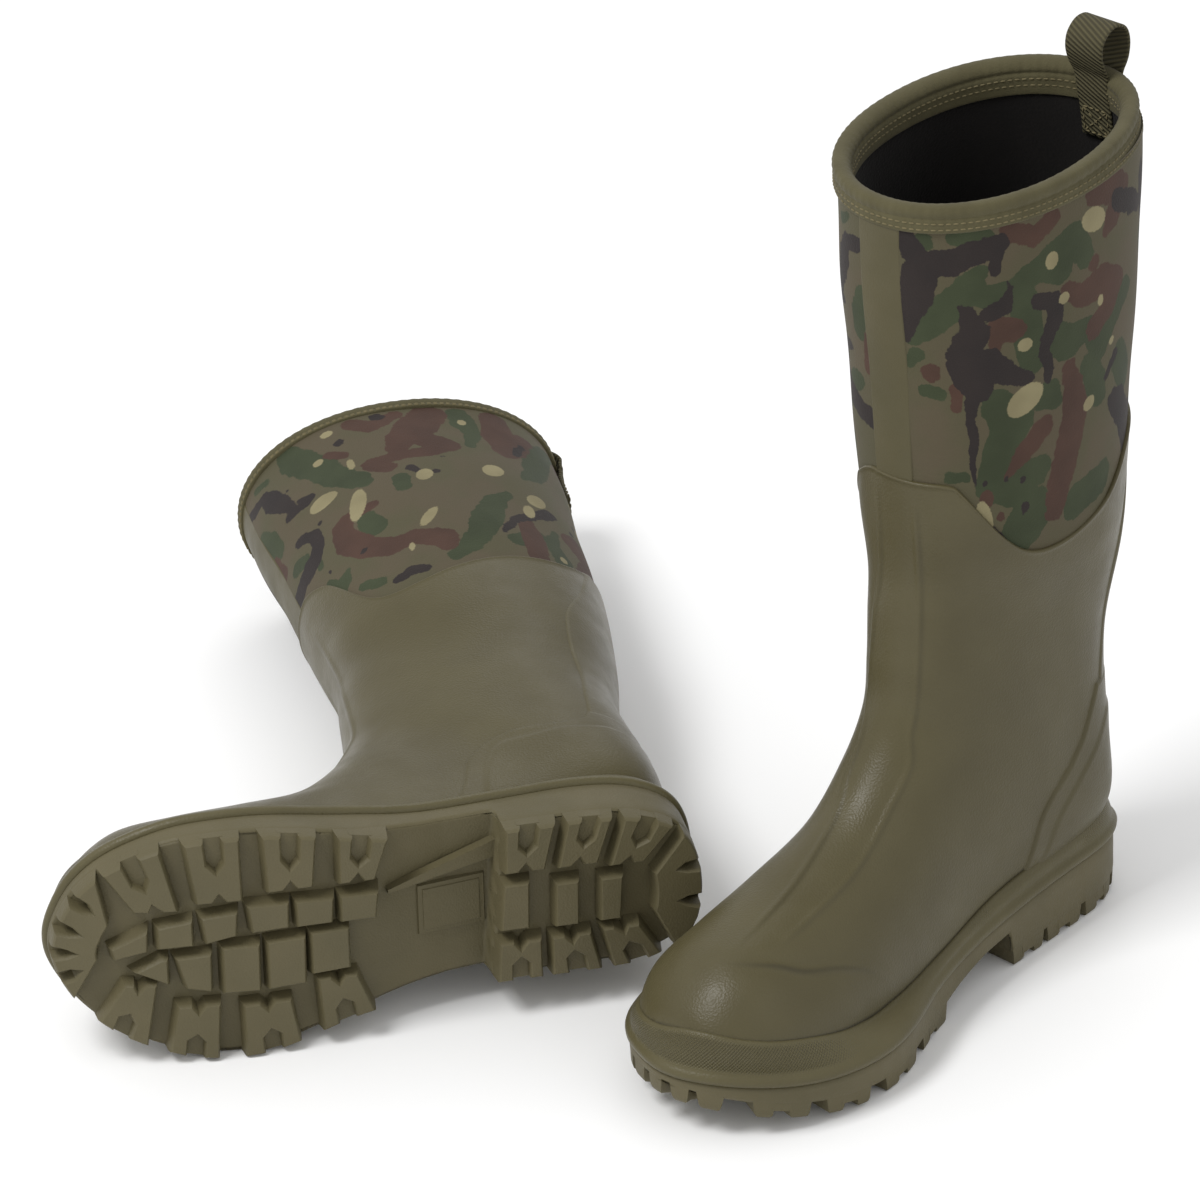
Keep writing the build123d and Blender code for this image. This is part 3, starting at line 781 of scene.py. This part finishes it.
def panel_fields(around, height, panel):
    """Distances inside a panel's patches. Towards the back the print repeats, turned over."""
    p = np.stack([around, height], -1)
    behind = 14 * smooth(REPEAT_AT + 4, REPEAT_AT - 6, around)
    fields = {}
    for key, shapes in panel.items():
        measure = spot_distance if key == "tan" else patch_distance
        first, again = (np.max([measure(at, shape) for shape in shapes], axis=0)
                        for at in (p, REPEAT_TURN - p))
        fields[key] = np.maximum(first, again - behind)
    return fields


def make_panel(side, name, sign, panel):
    """One printed panel, from the strip to the back seam."""
    phi = sign * np.linspace(0.12, pi, 240)
    low, high = to_edge(phi, 1.2, side) - 0.25, to_rim(phi, 1.2, side, -8)
    grid = between(low, high, 170, phi, PANEL_DEPTH, side)
    _, y, z = axes(grid)
    around = np.array([arc(row) for row in grid]) + np.abs(y[:, :1])
    puff = 0.5 * np.sin(around / 14 + z / 19) * np.sin(z / 27)
    grid = raised(grid, False, sign * puff)
    skin(name, side, grid, CAMO_CLOTH, "camo_fabric", wrap=False, inside=sign < 0,
         fields=panel_fields(around, grid[..., 2], panel))


STRIP_HALF = 12.0


def make_strip(side):
    """The strip up the front, from the shell's edge to the binding."""
    widths = np.linspace(-1, 1, 61) * (STRIP_HALF + 0.8)
    depth = 0.5 + 1.9 * smooth(STRIP_HALF - 0.9, STRIP_HALF + 0.5, np.abs(widths))
    phi = np.arcsin(np.clip(widths / 57, -1, 1)) * 0.98
    start, end = to_edge(phi, 0.4, side) - 0.3, to_rim(phi, 0.4, side, -8)
    outer, inner = (between(start, end, 120, phi, layer, side) for layer in (0, 4))
    grid = outer + (inner - outer) * (depth / 4)[:, None]
    skin("front_strip", side, grid, STRIP_RUBBER, "strip_rubber", wrap=False)


# ---- rim: binding, stitches, lining

BINDING_PROFILE = [
    (1.6, -12.0), (0.6, -11.9), (-0.2, -11.5), (-0.5, -10.6), (-0.55, -8.4), (-0.5, -5.6),
    (-0.2, -4.9), (-0.1, -4.4), (-0.4, -3.7), (-0.8, -2.6), (-1.0, -1.2), (-0.7, 0.2),
    (-0.1, 1.2), (1.4, 1.7), (3.2, 1.6), (5.0, 0.9), (6.5, -0.3), (7.5, -1.8), (7.9, -3.2),
    (7.6, -4.3), (7.5, -4.9), (7.9, -5.6), (8.3, -6.6), (8.4, -9.0), (8.5, -12.6),
    (8.4, -15.0), (8.0, -15.6), (7.0, -15.8),
]
# Depth, whether outside or inside, height from the rim plane.
STITCH_ROWS = ((-0.55, 1, -6.6), (-0.55, 1, -9.6), (8.4, -1, -7.6), (8.4, -1, -10.8))
STITCH_PITCH, STITCH_LENGTH = 3.3, 2.3
ROLL_MIDDLE = 4.0
ROUND = 360
PINCH_AT = 0.7 * pi
RIM_PINCH = {"right": 3.6, "left": 0.0}
RIM_DROP = {"right": 0.0, "left": -3.5}
FLANGE_SHARE = {"right": 1.0, "left": 0.35}


def rim_ring(side, depth, drop, phi):
    """Points round the boot at a depth and at a height from the rim plane."""
    shorter = FLANGE_SHARE[side] * min(drop + 4, 0) + max(drop, -4) + RIM_DROP[side]
    s = to_rim(phi, 0, side, shorter)
    outer = surface(s, phi, 0, side)
    out = unit(outer - surface(s, phi, 6, side))
    pinch = RIM_PINCH[side] * np.exp(-((phi - PINCH_AT) / 0.8) ** 2) * smooth(-15, -3, drop)
    return outer - out * (depth + pinch)[..., None]


def make_binding(side):
    """The padded roll and the stitched flanges of the rim."""
    phi = circle(ROUND)
    rows = []
    for depth, drop in spline(BINDING_PROFILE, 2):
        pucker = 0.14 * np.sin(phi * 88) * smooth(-14, -4, drop) * (-1 if depth < ROLL_MIDDLE else 1)
        rows.append(rim_ring(side, depth + pucker, drop, phi))
    skin("top_binding", side, np.array(rows), BINDING_CLOTH, "binding_fabric")


def rods(centres, forward, up, length, radius):
    """Small rounded rods at centres, as points and quads."""
    rings = [(-0.5, 0.25), (-0.42, 0.8), (-0.2, 1), (0.2, 1), (0.42, 0.8), (0.5, 0.25)]
    shape = np.array([(x * length, radius * r * cos(a), radius * r * sin(a))
                      for x, r in rings for a in circle(6)])
    forward, up = (np.broadcast_to(v, centres.shape) for v in (forward, up))
    points = centres[:, None] + shape @ np.stack([forward, np.cross(up, forward), up], 1)
    quads = np.array(grid_faces(len(rings), 6, True))
    starts = np.arange(len(centres)) * len(shape)
    return points.reshape(-1, 3), (quads + starts[:, None, None]).reshape(-1, 4)


def make_thread(name, side, parts):
    """An object of stitches from lots of rods."""
    starts = np.cumsum([0] + [len(points) for points, _ in parts])
    faces = join([quads + start for (_, quads), start in zip(parts, starts)])
    finish_mesh(name, side, join([points for points, _ in parts]), faces.tolist(), STITCH_THREAD)


def stitch_row(line, out):
    """Stitches along a closed line on a surface that faces out."""
    at = arc(closed(line))
    count = int(at[-1] / STITCH_PITCH)
    where = (np.arange(count) + 0.5) * at[-1] / count

    def along(values, x):
        return np.stack([np.interp(x, at, v) for v in axes(closed(values))], -1)

    forward = unit(along(line, np.minimum(where + 0.6, at[-1]))
                   - along(line, np.maximum(where - 0.6, 0)))
    return rods(along(line, where), forward, unit(along(out, where)), STITCH_LENGTH, 0.42)


def make_stitches(side):
    """Two rows of thread round the binding, outside and inside."""
    phi = circle(ROUND)
    parts = []
    for depth, sign, drop in STITCH_ROWS:
        line = rim_ring(side, depth, drop, phi)
        parts.append(stitch_row(line, unit(rim_ring(side, depth - 1, drop, phi) - line) * sign))
    make_thread("binding_stitches", side, parts)


TOE_END = 0.6
LINING_DEPTH = 7.0
SOCK_DEPTHS = (2.7, 6.2)


def make_lining(side):
    """The dark inner cloth from the binding down to the toe."""
    phi = circle(200)
    grid = between(TOE_END, to_rim(phi, LINING_DEPTH, side, -9), 150, phi, LINING_DEPTH, side)
    x, _, z = axes(grid)
    share = np.linspace(0, 1, 150)[:, None]
    ripple = 0.7 * np.sin(z / 24 + 2 * np.sin(phi * 2)) * np.sin(x / 30)
    ripple *= smooth(0, 0.1, share) * smooth(-1, -0.75, -share)
    skin("lining", side, raised(grid, True, ripple), LINING_CLOTH, "lining_fabric", inside=True)


def make_sock(side):
    """The closed neoprene layer between the skins and the lining."""
    phi = circle(120)
    outer, inner = (between(TOE_END, to_rim(phi, depth, side, -9), 90, phi, depth, side)
                    for depth in SOCK_DEPTHS)
    skin("neoprene_sock", side, join([outer, inner[::-1]]), NEOPRENE, "neoprene")


# ---- pull loop

LOOP_WIDTH = 21.0
WEBBING_HALF = 0.8
RIB_PITCH = 2.3
TAB_BOW = 0.012
# Distance behind the rim's middle, the side it faces, bottom and top.
TAB_BOXES = ((-6.2, -1, -29, -17), (5.3, 1, -37, -19))
TAB_PITCH = 3.1
INNER_TAB = 17.0
OUTER_TAB = 25.0
LOOP_LEAN = {"right": 0.0, "left": 58.0}


def rim_back(side):
    """The binding's middle at the back of the rim, and the up and backward directions."""
    ring, lower = (rim_ring(side, ROLL_MIDDLE, drop, np.array([pi]))[0] for drop in (0, -30))
    up = unit(ring - lower)
    return ring, up, np.array([-up[2], 0.0, up[0]])


def loop_line(side):
    """The webbing's middle line in (backward, up) from the rim: inner tab, loop, outer tab."""
    inner = [(-5.0, -14 - INNER_TAB), (-5.3, -14.5), (-5.6, -9), (-5.4, -4), (-5.6, 0.6)]
    arch = [(-8.2, 6), (-10.2, 13), (-8.8, 19.5), (-3.4, 23.8), (3.0, 24.0), (8.4, 20.2),
            (10.4, 13.5), (9.4, 6.5)]
    outer = [(6.6, 1), (6.2, -4), (6.0, -9), (5.9, -13.5), (4.7, -19), (4.3, -14 - OUTER_TAB)]
    lean = radians(LOOP_LEAN[side])
    turn = np.array([[cos(lean), sin(lean)], [-sin(lean), cos(lean)]])
    return spline(inner + (np.array(arch) @ turn).tolist() + outer, 8)


def tab_shift(u):
    """How far the inner tab slants to the inner side."""
    return 4.5 * smooth(-8, 34, -u)


def make_webbing(side):
    """The webbing: stitched down inside the rim, over in a loop, and down outside."""
    origin, up, backward = rim_back(side)
    line = loop_line(side)
    ahead = unit(np.gradient(line, axis=0))
    half = LOOP_WIDTH / 2
    face = [(x, 1.0) for x in np.linspace(1.6 - half, half - 1.6, 16)]
    section = [(-half, -0.5), (-half, 0.5), (0.6 - half, 1.0), *face, (half - 0.6, 1.0), (half, 0.5),
               (half, -0.5), (half - 0.6, -1.0), *[(-x, -1.0) for x, _ in face], (0.6 - half, -1.0)]
    y, depth = np.array(section).T * [[1.0], [WEBBING_HALF]]
    b, u = line[:, :1], line[:, 1:]
    bow = TAB_BOW * y * y * ((u < -10) & (b > 0))
    back = b - ahead[:, 1:] * depth - bow
    across = y * (1 - 0.14 * smooth(-4, 6, -u)) + tab_shift(u) * (b < 0)
    grid = (origin + backward * back[..., None] + up * (u + ahead[:, :1] * depth)[..., None]
            + across[..., None] * [0, 1, 0])
    ribs = np.pad((arc(line)[:, None] + 0.45 * y) / RIB_PITCH, ((1, 1), (0, 0)), "edge")
    ends = [end * 0.02 + end.mean(1, keepdims=True) * 0.98 for end in (grid[:1], grid[-1:])]
    grid = join([ends[0], grid, ends[1]])
    made = grid_object("pull_webbing", side, grid, WEBBING_CLOTH, body=None, fields={"ribs": ribs})
    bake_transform(made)
    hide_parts(f"{side}_pull_loop", f"{side}_pull_tab_inside", f"{side}_pull_tab_outside")


def make_tab_stitches(side):
    """Box and cross stitching on both ends of the webbing."""
    origin, up, backward = rim_back(side)
    half = LOOP_WIDTH / 2 - 3.6
    parts = []
    for back, way, low, high in TAB_BOXES:
        corners = np.array([(-half, low), (half, low), (half, high), (-half, high)])
        for i, j in ((0, 1), (1, 2), (2, 3), (3, 0), (0, 2), (1, 3)):
            run = corners[j] - corners[i]
            count = int(norm(run) / TAB_PITCH)
            spots = corners[i] + run * (np.arange(count)[:, None] + 0.5) / count
            y, height = spots[:, :1], spots[:, 1:]
            bow = TAB_BOW * y * y * (way > 0)
            across = y + tab_shift(height) * (way < 0)
            centres = origin + backward * (back - bow) + up * height + across * [0, 1, 0]
            forward = unit(up * run[1] + [0, run[0], 0])
            parts.append(rods(centres, forward, backward * way, STITCH_LENGTH, 0.45))
    make_thread("tab_stitches", side, parts)


# ---- sole

def sole_outline():
    """The closed outline from the heel along the outer side, and its outward directions."""
    outer = [(x, -lateral) for x, _, lateral in OUTLINE]
    inner = [(x, medial) for x, medial, _ in reversed(OUTLINE)]
    corners = [(0, 0)] + outer + [(SOLE_LENGTH, 0)] + inner
    looped = corners[-3:] + corners + corners[:4]
    fine = spline(looped, 40)[3 * 40:(3 + len(corners)) * 40]
    for _ in range(60):
        fine = (np.roll(fine, 1, 0) + 2 * fine + np.roll(fine, -1, 0)) / 4
    fine = closed(fine)
    at = arc(fine)
    even = np.linspace(0, at[-1], 640, endpoint=False)
    points = np.stack([np.interp(even, at, v) for v in axes(fine)], -1)
    return points, unit(rightwards(np.roll(points, -1, 0) - np.roll(points, 1, 0)))


LUG_INSET = 0.4
RING, RING_OUT = sole_outline()
TOE_AT = int(np.argmax(RING[:, 0]))
RING_STEP = norm(RING[1] - RING[0])


def heel_breast(y):
    """Where the heel's front face is."""
    return 96.9 + 0.08 * y


def base_height(x, y):
    """Height of the underside between the lugs, above the ground contact."""
    arch = np.interp(x, [95, 100, 120, 140, 152, 162, 176], [20, 20, 18, 14, 11, 8.2, 7.5])
    step = x - heel_breast(y)
    return np.where(step > 1.6, arch, 8.5 + 11.5 * smooth(0, 1.6, step))


FOX_TOP = rounded_table([(-5, 52), (10, 50), (29, 48.5), (43, 47.5), (62, 47), (89, 45),
                         (108, 42), (132, 38), (155, 35), (181, 33), (210, 33), (238, 37),
                         (260, 42.5), (280, 47.5), (296, 53), (305, 55)], 12)


def fox_height(x, y):
    """Height of the foxing band's top edge, lower round the outer side of the toe."""
    return FOX_TOP(x) - 6.5 * smooth(225, 278, x) * smooth(-25, 25, -y)


BEAD_HEIGHT = 5.8


def ring_rows(profile):
    """Rows round the outline from (inset, height) pairs."""
    inset, height = (np.array([np.broadcast_to(v, len(RING)) for v in row])[..., None]
                     for row in zip(*profile))
    return join([RING - RING_OUT * inset, height], 2)


def make_outsole(side):
    """The outsole's cup."""
    x, y = RING.T
    top = sole_top(x)
    centre = np.interp(x, [0, 60, 130, 180, 240, 305], [0, -3, -2.5, -1, 1, 0])
    under = []
    for k in join([np.linspace(0, 0.9, 24), [0.95, 0.975]]):
        across = centre + (y - centre) * k
        edge = x - RING_OUT[:, 0] * 2.0 * (k > 0.9)
        under.append(np.stack([edge, across, base_height(edge, across) + ground(edge)], 1))
    low = base_height(x, y) + ground(x)
    wall = [(1.6, low), (0.5, low + 0.5), (0.0, low + 1.7)]
    wall += [(0.0, low + 1.7 + (top - 2.2 - low - 1.7) * k) for k in (0.25, 0.5, 0.75, 1.0)]
    wall += [(0.7, top - 1.3), (1.5, top - 0.8), (4.0, top - 0.7), (9.0, top - 0.7)]
    grid = join([under, ring_rows(wall)])
    grid_object("outsole_cup", side, grid, SOLE_RUBBER)


def make_foxing(side):
    """The band round the join of shell and sole, with a rounded bead at its foot."""
    shell = shell_grid(side)
    tree = BVHTree.FromPolygons(shell.reshape(-1, 3).tolist(), grid_faces(*shell.shape[:2], True))
    top = fox_height(*RING.T)
    foot = sole_top(RING[:, 0])

    def reach(height):
        found = np.zeros(len(RING))
        for i, (q, n, z) in enumerate(zip(RING, RING_OUT, height)):
            hit = tree.ray_cast(Vector((*(q + n * 25), z)), Vector((*(-n), 0)), 90)
            found[i] = (hit[3] - 25) if hit[0] else 12.0
        padded = join([found[-9:], found, found[:9]])
        return np.convolve(padded, np.ones(7) / 7, "same")[9:-9]

    last = reach(top) - 1.3
    rows = [(3.0, foot - 1.2), (0.7, foot - 0.9), (-0.7, foot - 0.3), (-1.7, foot + 0.9),
            (-1.9, foot + 2.3), (-1.5, foot + 3.7), (-0.5, foot + 4.7)]
    for t in np.linspace(0, 1, 9):
        height = foot + BEAD_HEIGHT + (top - foot - BEAD_HEIGHT) * t
        inset = 0.5 + (last - 0.5) * t - 0.8 * sin(pi * t)
        rows.append((np.minimum(inset, reach(height) - 1.1), height))
    rows += [(last + 0.5, top + 0.35), (last + 1.3, top + 0.5), (last + 2.8, top + 0.4)]
    grid = ring_rows(rows)
    x, y, z = axes(grid)
    up = z - foot
    above_bead = smooth(BEAD_HEIGHT, 7.5, up)
    further = 55 * smooth(-5, 20, -y)
    toe = smooth(225, 262, x + further) * smooth(foot - top, foot - top + 2, -up)
    patches = smooth(0.35, 0.6, np.sin(x / 17)) * smooth(-150, -110, -x)
    skin("foxing_band", side, grid, KNURL_RUBBER, "shell_rubber", fields={
        "knurl": above_bead * np.maximum(toe, 0.4 * patches),
        "around": np.tile(np.arange(len(RING)) * RING_STEP, len(rows)),
        "up": up + (top - foot) * 0.35})


def ring_index(x, way):
    """The place on the outline at x, on one side."""
    half = np.arange(TOE_AT, len(RING)) if way > 0 else np.arange(TOE_AT)
    return half[np.argmin(np.abs(RING[half, 0] - x))]


def edge_lug(x0, x1, u0, u1, reach, way, notch):
    """Outline of a lug at the sole's edge, notched at both ends, and of its outer notch."""
    a, b = ring_index(x0, way), ring_index(x1, way)
    if a > b:
        a, b, u0, u1 = b, a, u1, u0
    places = [int(round(i)) for i in np.linspace(a, b, 9)]
    edge = RING[places] - RING_OUT[places] * LUG_INSET
    inner = np.array([(u0, reach * way), (u1, reach * way)])
    inner_middle = inner.mean(0)
    middle = int(round((a + b) / 2))
    mouth = min(4.2, (b - a) * RING_STEP * 0.19)
    along = unit(RING[(middle + 2) % len(RING)] - RING[middle - 2])
    to_inner = inner_middle - RING[middle]
    into = unit(to_inner)
    deep = min(notch, norm(to_inner) * 0.6)
    start = RING[middle] - RING_OUT[middle] * LUG_INSET
    cut_out = [start + along * mouth * aside + into * deep * inside
               for aside, inside in ((-1, 0), (-0.92, 0.72), (0, 1), (0.92, 0.72), (1, 0))]
    at = (edge - start) @ along
    nick = unit(inner[1] - inner[0]) * min(3.2, norm(inner[1] - inner[0]) * 0.2)
    points = [*edge[at < -mouth - 1.2], *cut_out, *edge[at > mouth + 1.2], inner[1],
              inner_middle + nick, inner_middle - into * 4.2, inner_middle - nick, inner[0]]
    return points, cut_out


def end_lug(start, end, depth, notches, around):
    """Outline of a lug round the toe or the heel, placed by distances along the outline."""
    def spot(at, inset):
        i = (around + int(round(at / RING_STEP))) % len(RING)
        return RING[i] - RING_OUT[i] * (inset + LUG_INSET)

    points, at = [], start
    for cut in notches:
        points += [spot(v, 0) for v in np.linspace(at, cut - 3.2, 5)]
        points += [spot(cut - 2.4, 6.5), spot(cut, 10.5), spot(cut + 2.4, 6.5)]
        at = cut + 3.2
    points += [spot(v, 0) for v in np.linspace(at, end, 5)]
    inner = np.linspace(end, start, 7)[1:-1] * 0.72 + (start + end) / 2 * 0.28
    return points + [spot(v, depth) for v in inner]


# Ends at the wall and inside, reach from the middle, side (1 for the inner one), notch depth.
EDGE_LUGS = (
    (148.5, 172, 155, 172, 27, -1, 17), (181.5, 207, 184, 205.5, 27.5, -1, 17),
    (217.5, 243, 217, 238.5, 25, -1, 17), (254, 280, 246.5, 267, 22, -1, 17),
    (157.5, 182, 165, 184, 22, 1, 12), (192, 219.5, 196.5, 219.5, 31, 1, 12),
    (231, 255, 229.5, 249.5, 29, 1, 12), (264, 286, 258, 273, 16.5, 1, 12),
    (69, 93, 75, 94, 20, -1, 14), (42, 64, 50, 69, 19.5, -1, 14), (13.5, 37, 28, 44.5, 17, -1, 14),
    (77.5, 99, 77.5, 97.5, 17, 1, 12), (49, 72.5, 54, 73, 17, 1, 12), (20.5, 44, 31, 49, 16, 1, 12),
)
BLOCKS = (
    ((168, 18.5), (186.5, 19.5), (186.5, -3.5), (168, -3.5)),
    ((189, 23.5), (207, 24.5), (207, -1.5), (188.5, -2)),
    ((210.5, 24.5), (228, 24), (228, -1), (210, -1)),
    ((233, 22.5), (245, 20), (249.5, 3), (232.5, 1.5)),
    ((252.5, 17.5), (268.5, 10), (256, 3), (252.5, 3)),
    ((155, -6.5), (172, -6.5), (172, -21), (153.5, -20.5)),
    ((175.5, -7), (192.5, -7), (193, -21.5), (174.5, -20.5)),
    ((196, -7.5), (213.5, -7), (215.5, -22), (195.5, -21.5)),
    ((220.5, -6.5), (235, -3.5), (237, -18), (219.5, -19.5)),
    ((240.5, -3), (257, -2), (257, -14), (240.5, -17)),
    ((261.5, -1), (277, 3.5), (278.5, -3), (261, -12.5)),
    ((39.5, 12), (49.5, 12), (49, -11.5), (38, -11.5)),
    ((59.5, 12), (71, 12), (70.5, -12), (59, -12)),
    ((83, 10.5), (97, 10.5), (95, -14.5), (82.5, -14.5)),
)
LUGS, NOTCH_FLOORS = zip(*[edge_lug(*row) for row in EDGE_LUGS])
LUGS += (end_lug(-47, 27, 20, (-31, -15, 0, 14), TOE_AT), end_lug(-36, 32, 22, (-8, 12), 0))
LUGS += BLOCKS
NOTCH_DEPTH = 4.2
# Rings of a lug and of a notch's floor: growth of the outline, and height, None for the root.
LUG_RINGS = ((1.3, None), (0.1, 2.4), (-0.4, 0.8), (-1.1, 0.0))
FLOOR_RINGS = ((1.3, None), (1.0, 0.0))
# Corners, height over the sole's underside at the foot and at the top, and draft.
PLAQUE_PARTS = (
    (((101, -12), (133, -12), (133, 14), (101, 14)), 0.6, -1.2, 0.8),
    (((103.4, -9.6), (130.6, -9.6), (130.6, 11.6), (103.4, 11.6)), -1.1, -1.8, 0.5),
    (((95, -31), (148, -16), (148, -14), (95, -22)), 0.6, -4.0, 0.4),
)


def grown(points, by):
    """A counter-clockwise outline moved outwards."""
    p = np.array(points)
    out = rightwards(unit(np.roll(p, -1, 0) - p))
    mean = out + np.roll(out, 1, 0)
    return p + by * mean / np.maximum((mean * out).sum(1), 0.45)[:, None]


def kept_inside(q):
    """Points pulled back to the sole's wall where they pass it, and which are near it."""
    near = norm(q[:, None] - RING[None], axis=2).argmin(1)
    beyond = ((q - RING[near]) * RING_OUT[near]).sum(1)
    pulled = q - RING_OUT[near] * np.maximum(beyond + 0.1, 0)[:, None]
    return pulled, (beyond > -1.8).astype(float)


def add_stack(points, faces, rings):
    """Adds rings of points, with walls between them and a cap on the last."""
    count, tip = len(rings[0]), len(points) + len(rings[0]) * (len(rings) - 1)
    for low in range(len(points), tip, count):
        faces += [(low + i, low + count + i, low + count + (i + 1) % count, low + (i + 1) % count)
                  for i in range(count)]
    faces.append(tuple(range(tip + count - 1, tip - 1, -1)))
    points += join(rings).tolist()


def make_tread(side):
    """The lugs and blocks, drafted and bevelled, and the floors of their notches."""
    points, faces = [], []
    for outline, floor in [(p, 0.0) for p in LUGS] + [(p, NOTCH_DEPTH) for p in NOTCH_FLOORS]:
        p = np.array(outline, float)
        if (p * rightwards(np.roll(p, -1, 0))).sum() < 0:
            p = p[::-1]
        rings = []
        for by, above in FLOOR_RINGS if floor else LUG_RINGS:
            q, at_wall = kept_inside(grown(p, by))
            root = base_height(q[:, 0], q[:, 1]) + 0.6 + 1.8 * at_wall
            height = root if above is None else np.full(len(q), above + floor)
            rings.append(np.column_stack([q, ground(q[:, 0]) + height]))
        add_stack(points, faces, rings)
    made = finish_mesh("tread", side, np.array(points), faces, SOLE_RUBBER, smooth_angle=28)
    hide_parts(f"{side}_outsole")


def make_plaque(side):
    """A blank framed plate under the arch, and a slanting rib."""
    points, faces = [], []
    for corners, low, high, draft in PLAQUE_PARTS:
        p = np.array(corners, float)
        base = base_height(np.maximum(p[:, 0], heel_breast(p[:, 1]) + 1.7), p[:, 1])
        add_stack(points, faces, [np.column_stack([grown(p, draft), base + low]),
                                  np.column_stack([p, base + high])])
    finish_mesh("arch_plaque", side, np.array(points), faces, SOLE_RUBBER, smooth_angle=30)


# ---- the pair

def make_boot(side):
    """Every visible piece of one boot, and the finish of its inner pieces."""
    make_shell(side)
    overlay("heel_counter", side, 5.2, 10.6, 0.35, counter_lift, 260, 260)
    overlay("back_stay", side, 7.6, 13.2, 0.45, stay_lift)
    overlay("heel_spur", side, 7.6, 9.4, 0.6, spur_lift, 90, 160, -1.3)
    make_panel(side, "camo_medial", 1, INNER_PANEL)
    make_panel(side, "camo_lateral", -1, OUTER_PANEL)
    for make in (make_strip, make_binding, make_stitches, make_lining, make_sock, make_webbing,
                 make_tab_stitches, make_foxing, make_outsole, make_tread, make_plaque):
        make(side)
    for name, material in INNER_PIECES.items():
        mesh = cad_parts[f"{side}_{name}"].data
        mesh.materials.clear()
        mesh.materials.append(material)


for boot_side in ("right", "left"):
    make_boot(boot_side)


# ---- studio

FLOOR_WHITE = 0.93
SURROUND_STRENGTH = 0.76
# Location and aim in metres, size, power.
LAMPS = {
    "key": ((-1.35, -1.0, 2.6), (0.0, 0.0, 0.15), 1.0, 50),
    "fill": ((1.8, -1.8, 1.6), (0.0, 0.0, 0.15), 1.6, 4),
    "rim": ((0.4, 2.0, 2.0), (0.0, 0.0, 0.2), 1.2, 6),
}
CAMERA_TARGET = (0.0039, -0.1012, 0.1824)
CAMERA_DISTANCE = 3.6
CAMERA_TILT = radians(29.8906)
CAMERA_ROLL = radians(-2.0896)


def make_studio():
    """A pale floor, a bright surround and three soft square lamps."""
    bpy.ops.mesh.primitive_plane_add(size=40)
    floor = bpy.context.object
    floor.name = "floor"
    n = Nodes("floor", 0.9)
    n.fix("Base Color", (FLOOR_WHITE, FLOOR_WHITE, FLOOR_WHITE, 1))
    n.fix("Specular IOR Level", 0.0)
    floor.data.materials.append(n.material)
    scene = bpy.context.scene
    scene.world = bpy.data.worlds.new("studio")
    scene.world.use_nodes = True
    surround = scene.world.node_tree.nodes["Background"]
    surround.inputs["Color"].default_value = (1, 1, 1, 1)
    surround.inputs["Strength"].default_value = SURROUND_STRENGTH
    scene.view_settings.view_transform = "Standard"
    for name, (location, target, size, power) in LAMPS.items():
        lamp = bpy.data.lights.new(name, "AREA")
        lamp.shape, lamp.size, lamp.energy = "SQUARE", size, power
        holder = show(name, lamp)
        holder.location = location
        aim = Vector(target) - Vector(location)
        holder.rotation_euler = aim.to_track_quat("-Z", "Y").to_euler()


def make_camera():
    """A long lens looking down at the pair from the front."""
    data = bpy.data.cameras.new("camera")
    data.sensor_width, data.lens = 36, 232.87
    data.clip_start, data.clip_end = 0.1, 60
    camera = show("camera", data)
    turn = Matrix.Rotation(pi / 2 - CAMERA_TILT, 4, "X") @ Matrix.Rotation(CAMERA_ROLL, 4, "Z")
    back = Matrix.Translation((0, 0, CAMERA_DISTANCE))
    camera.matrix_world = Matrix.Translation(CAMERA_TARGET) @ turn @ back
    bpy.context.scene.camera = camera


make_studio()
make_camera()
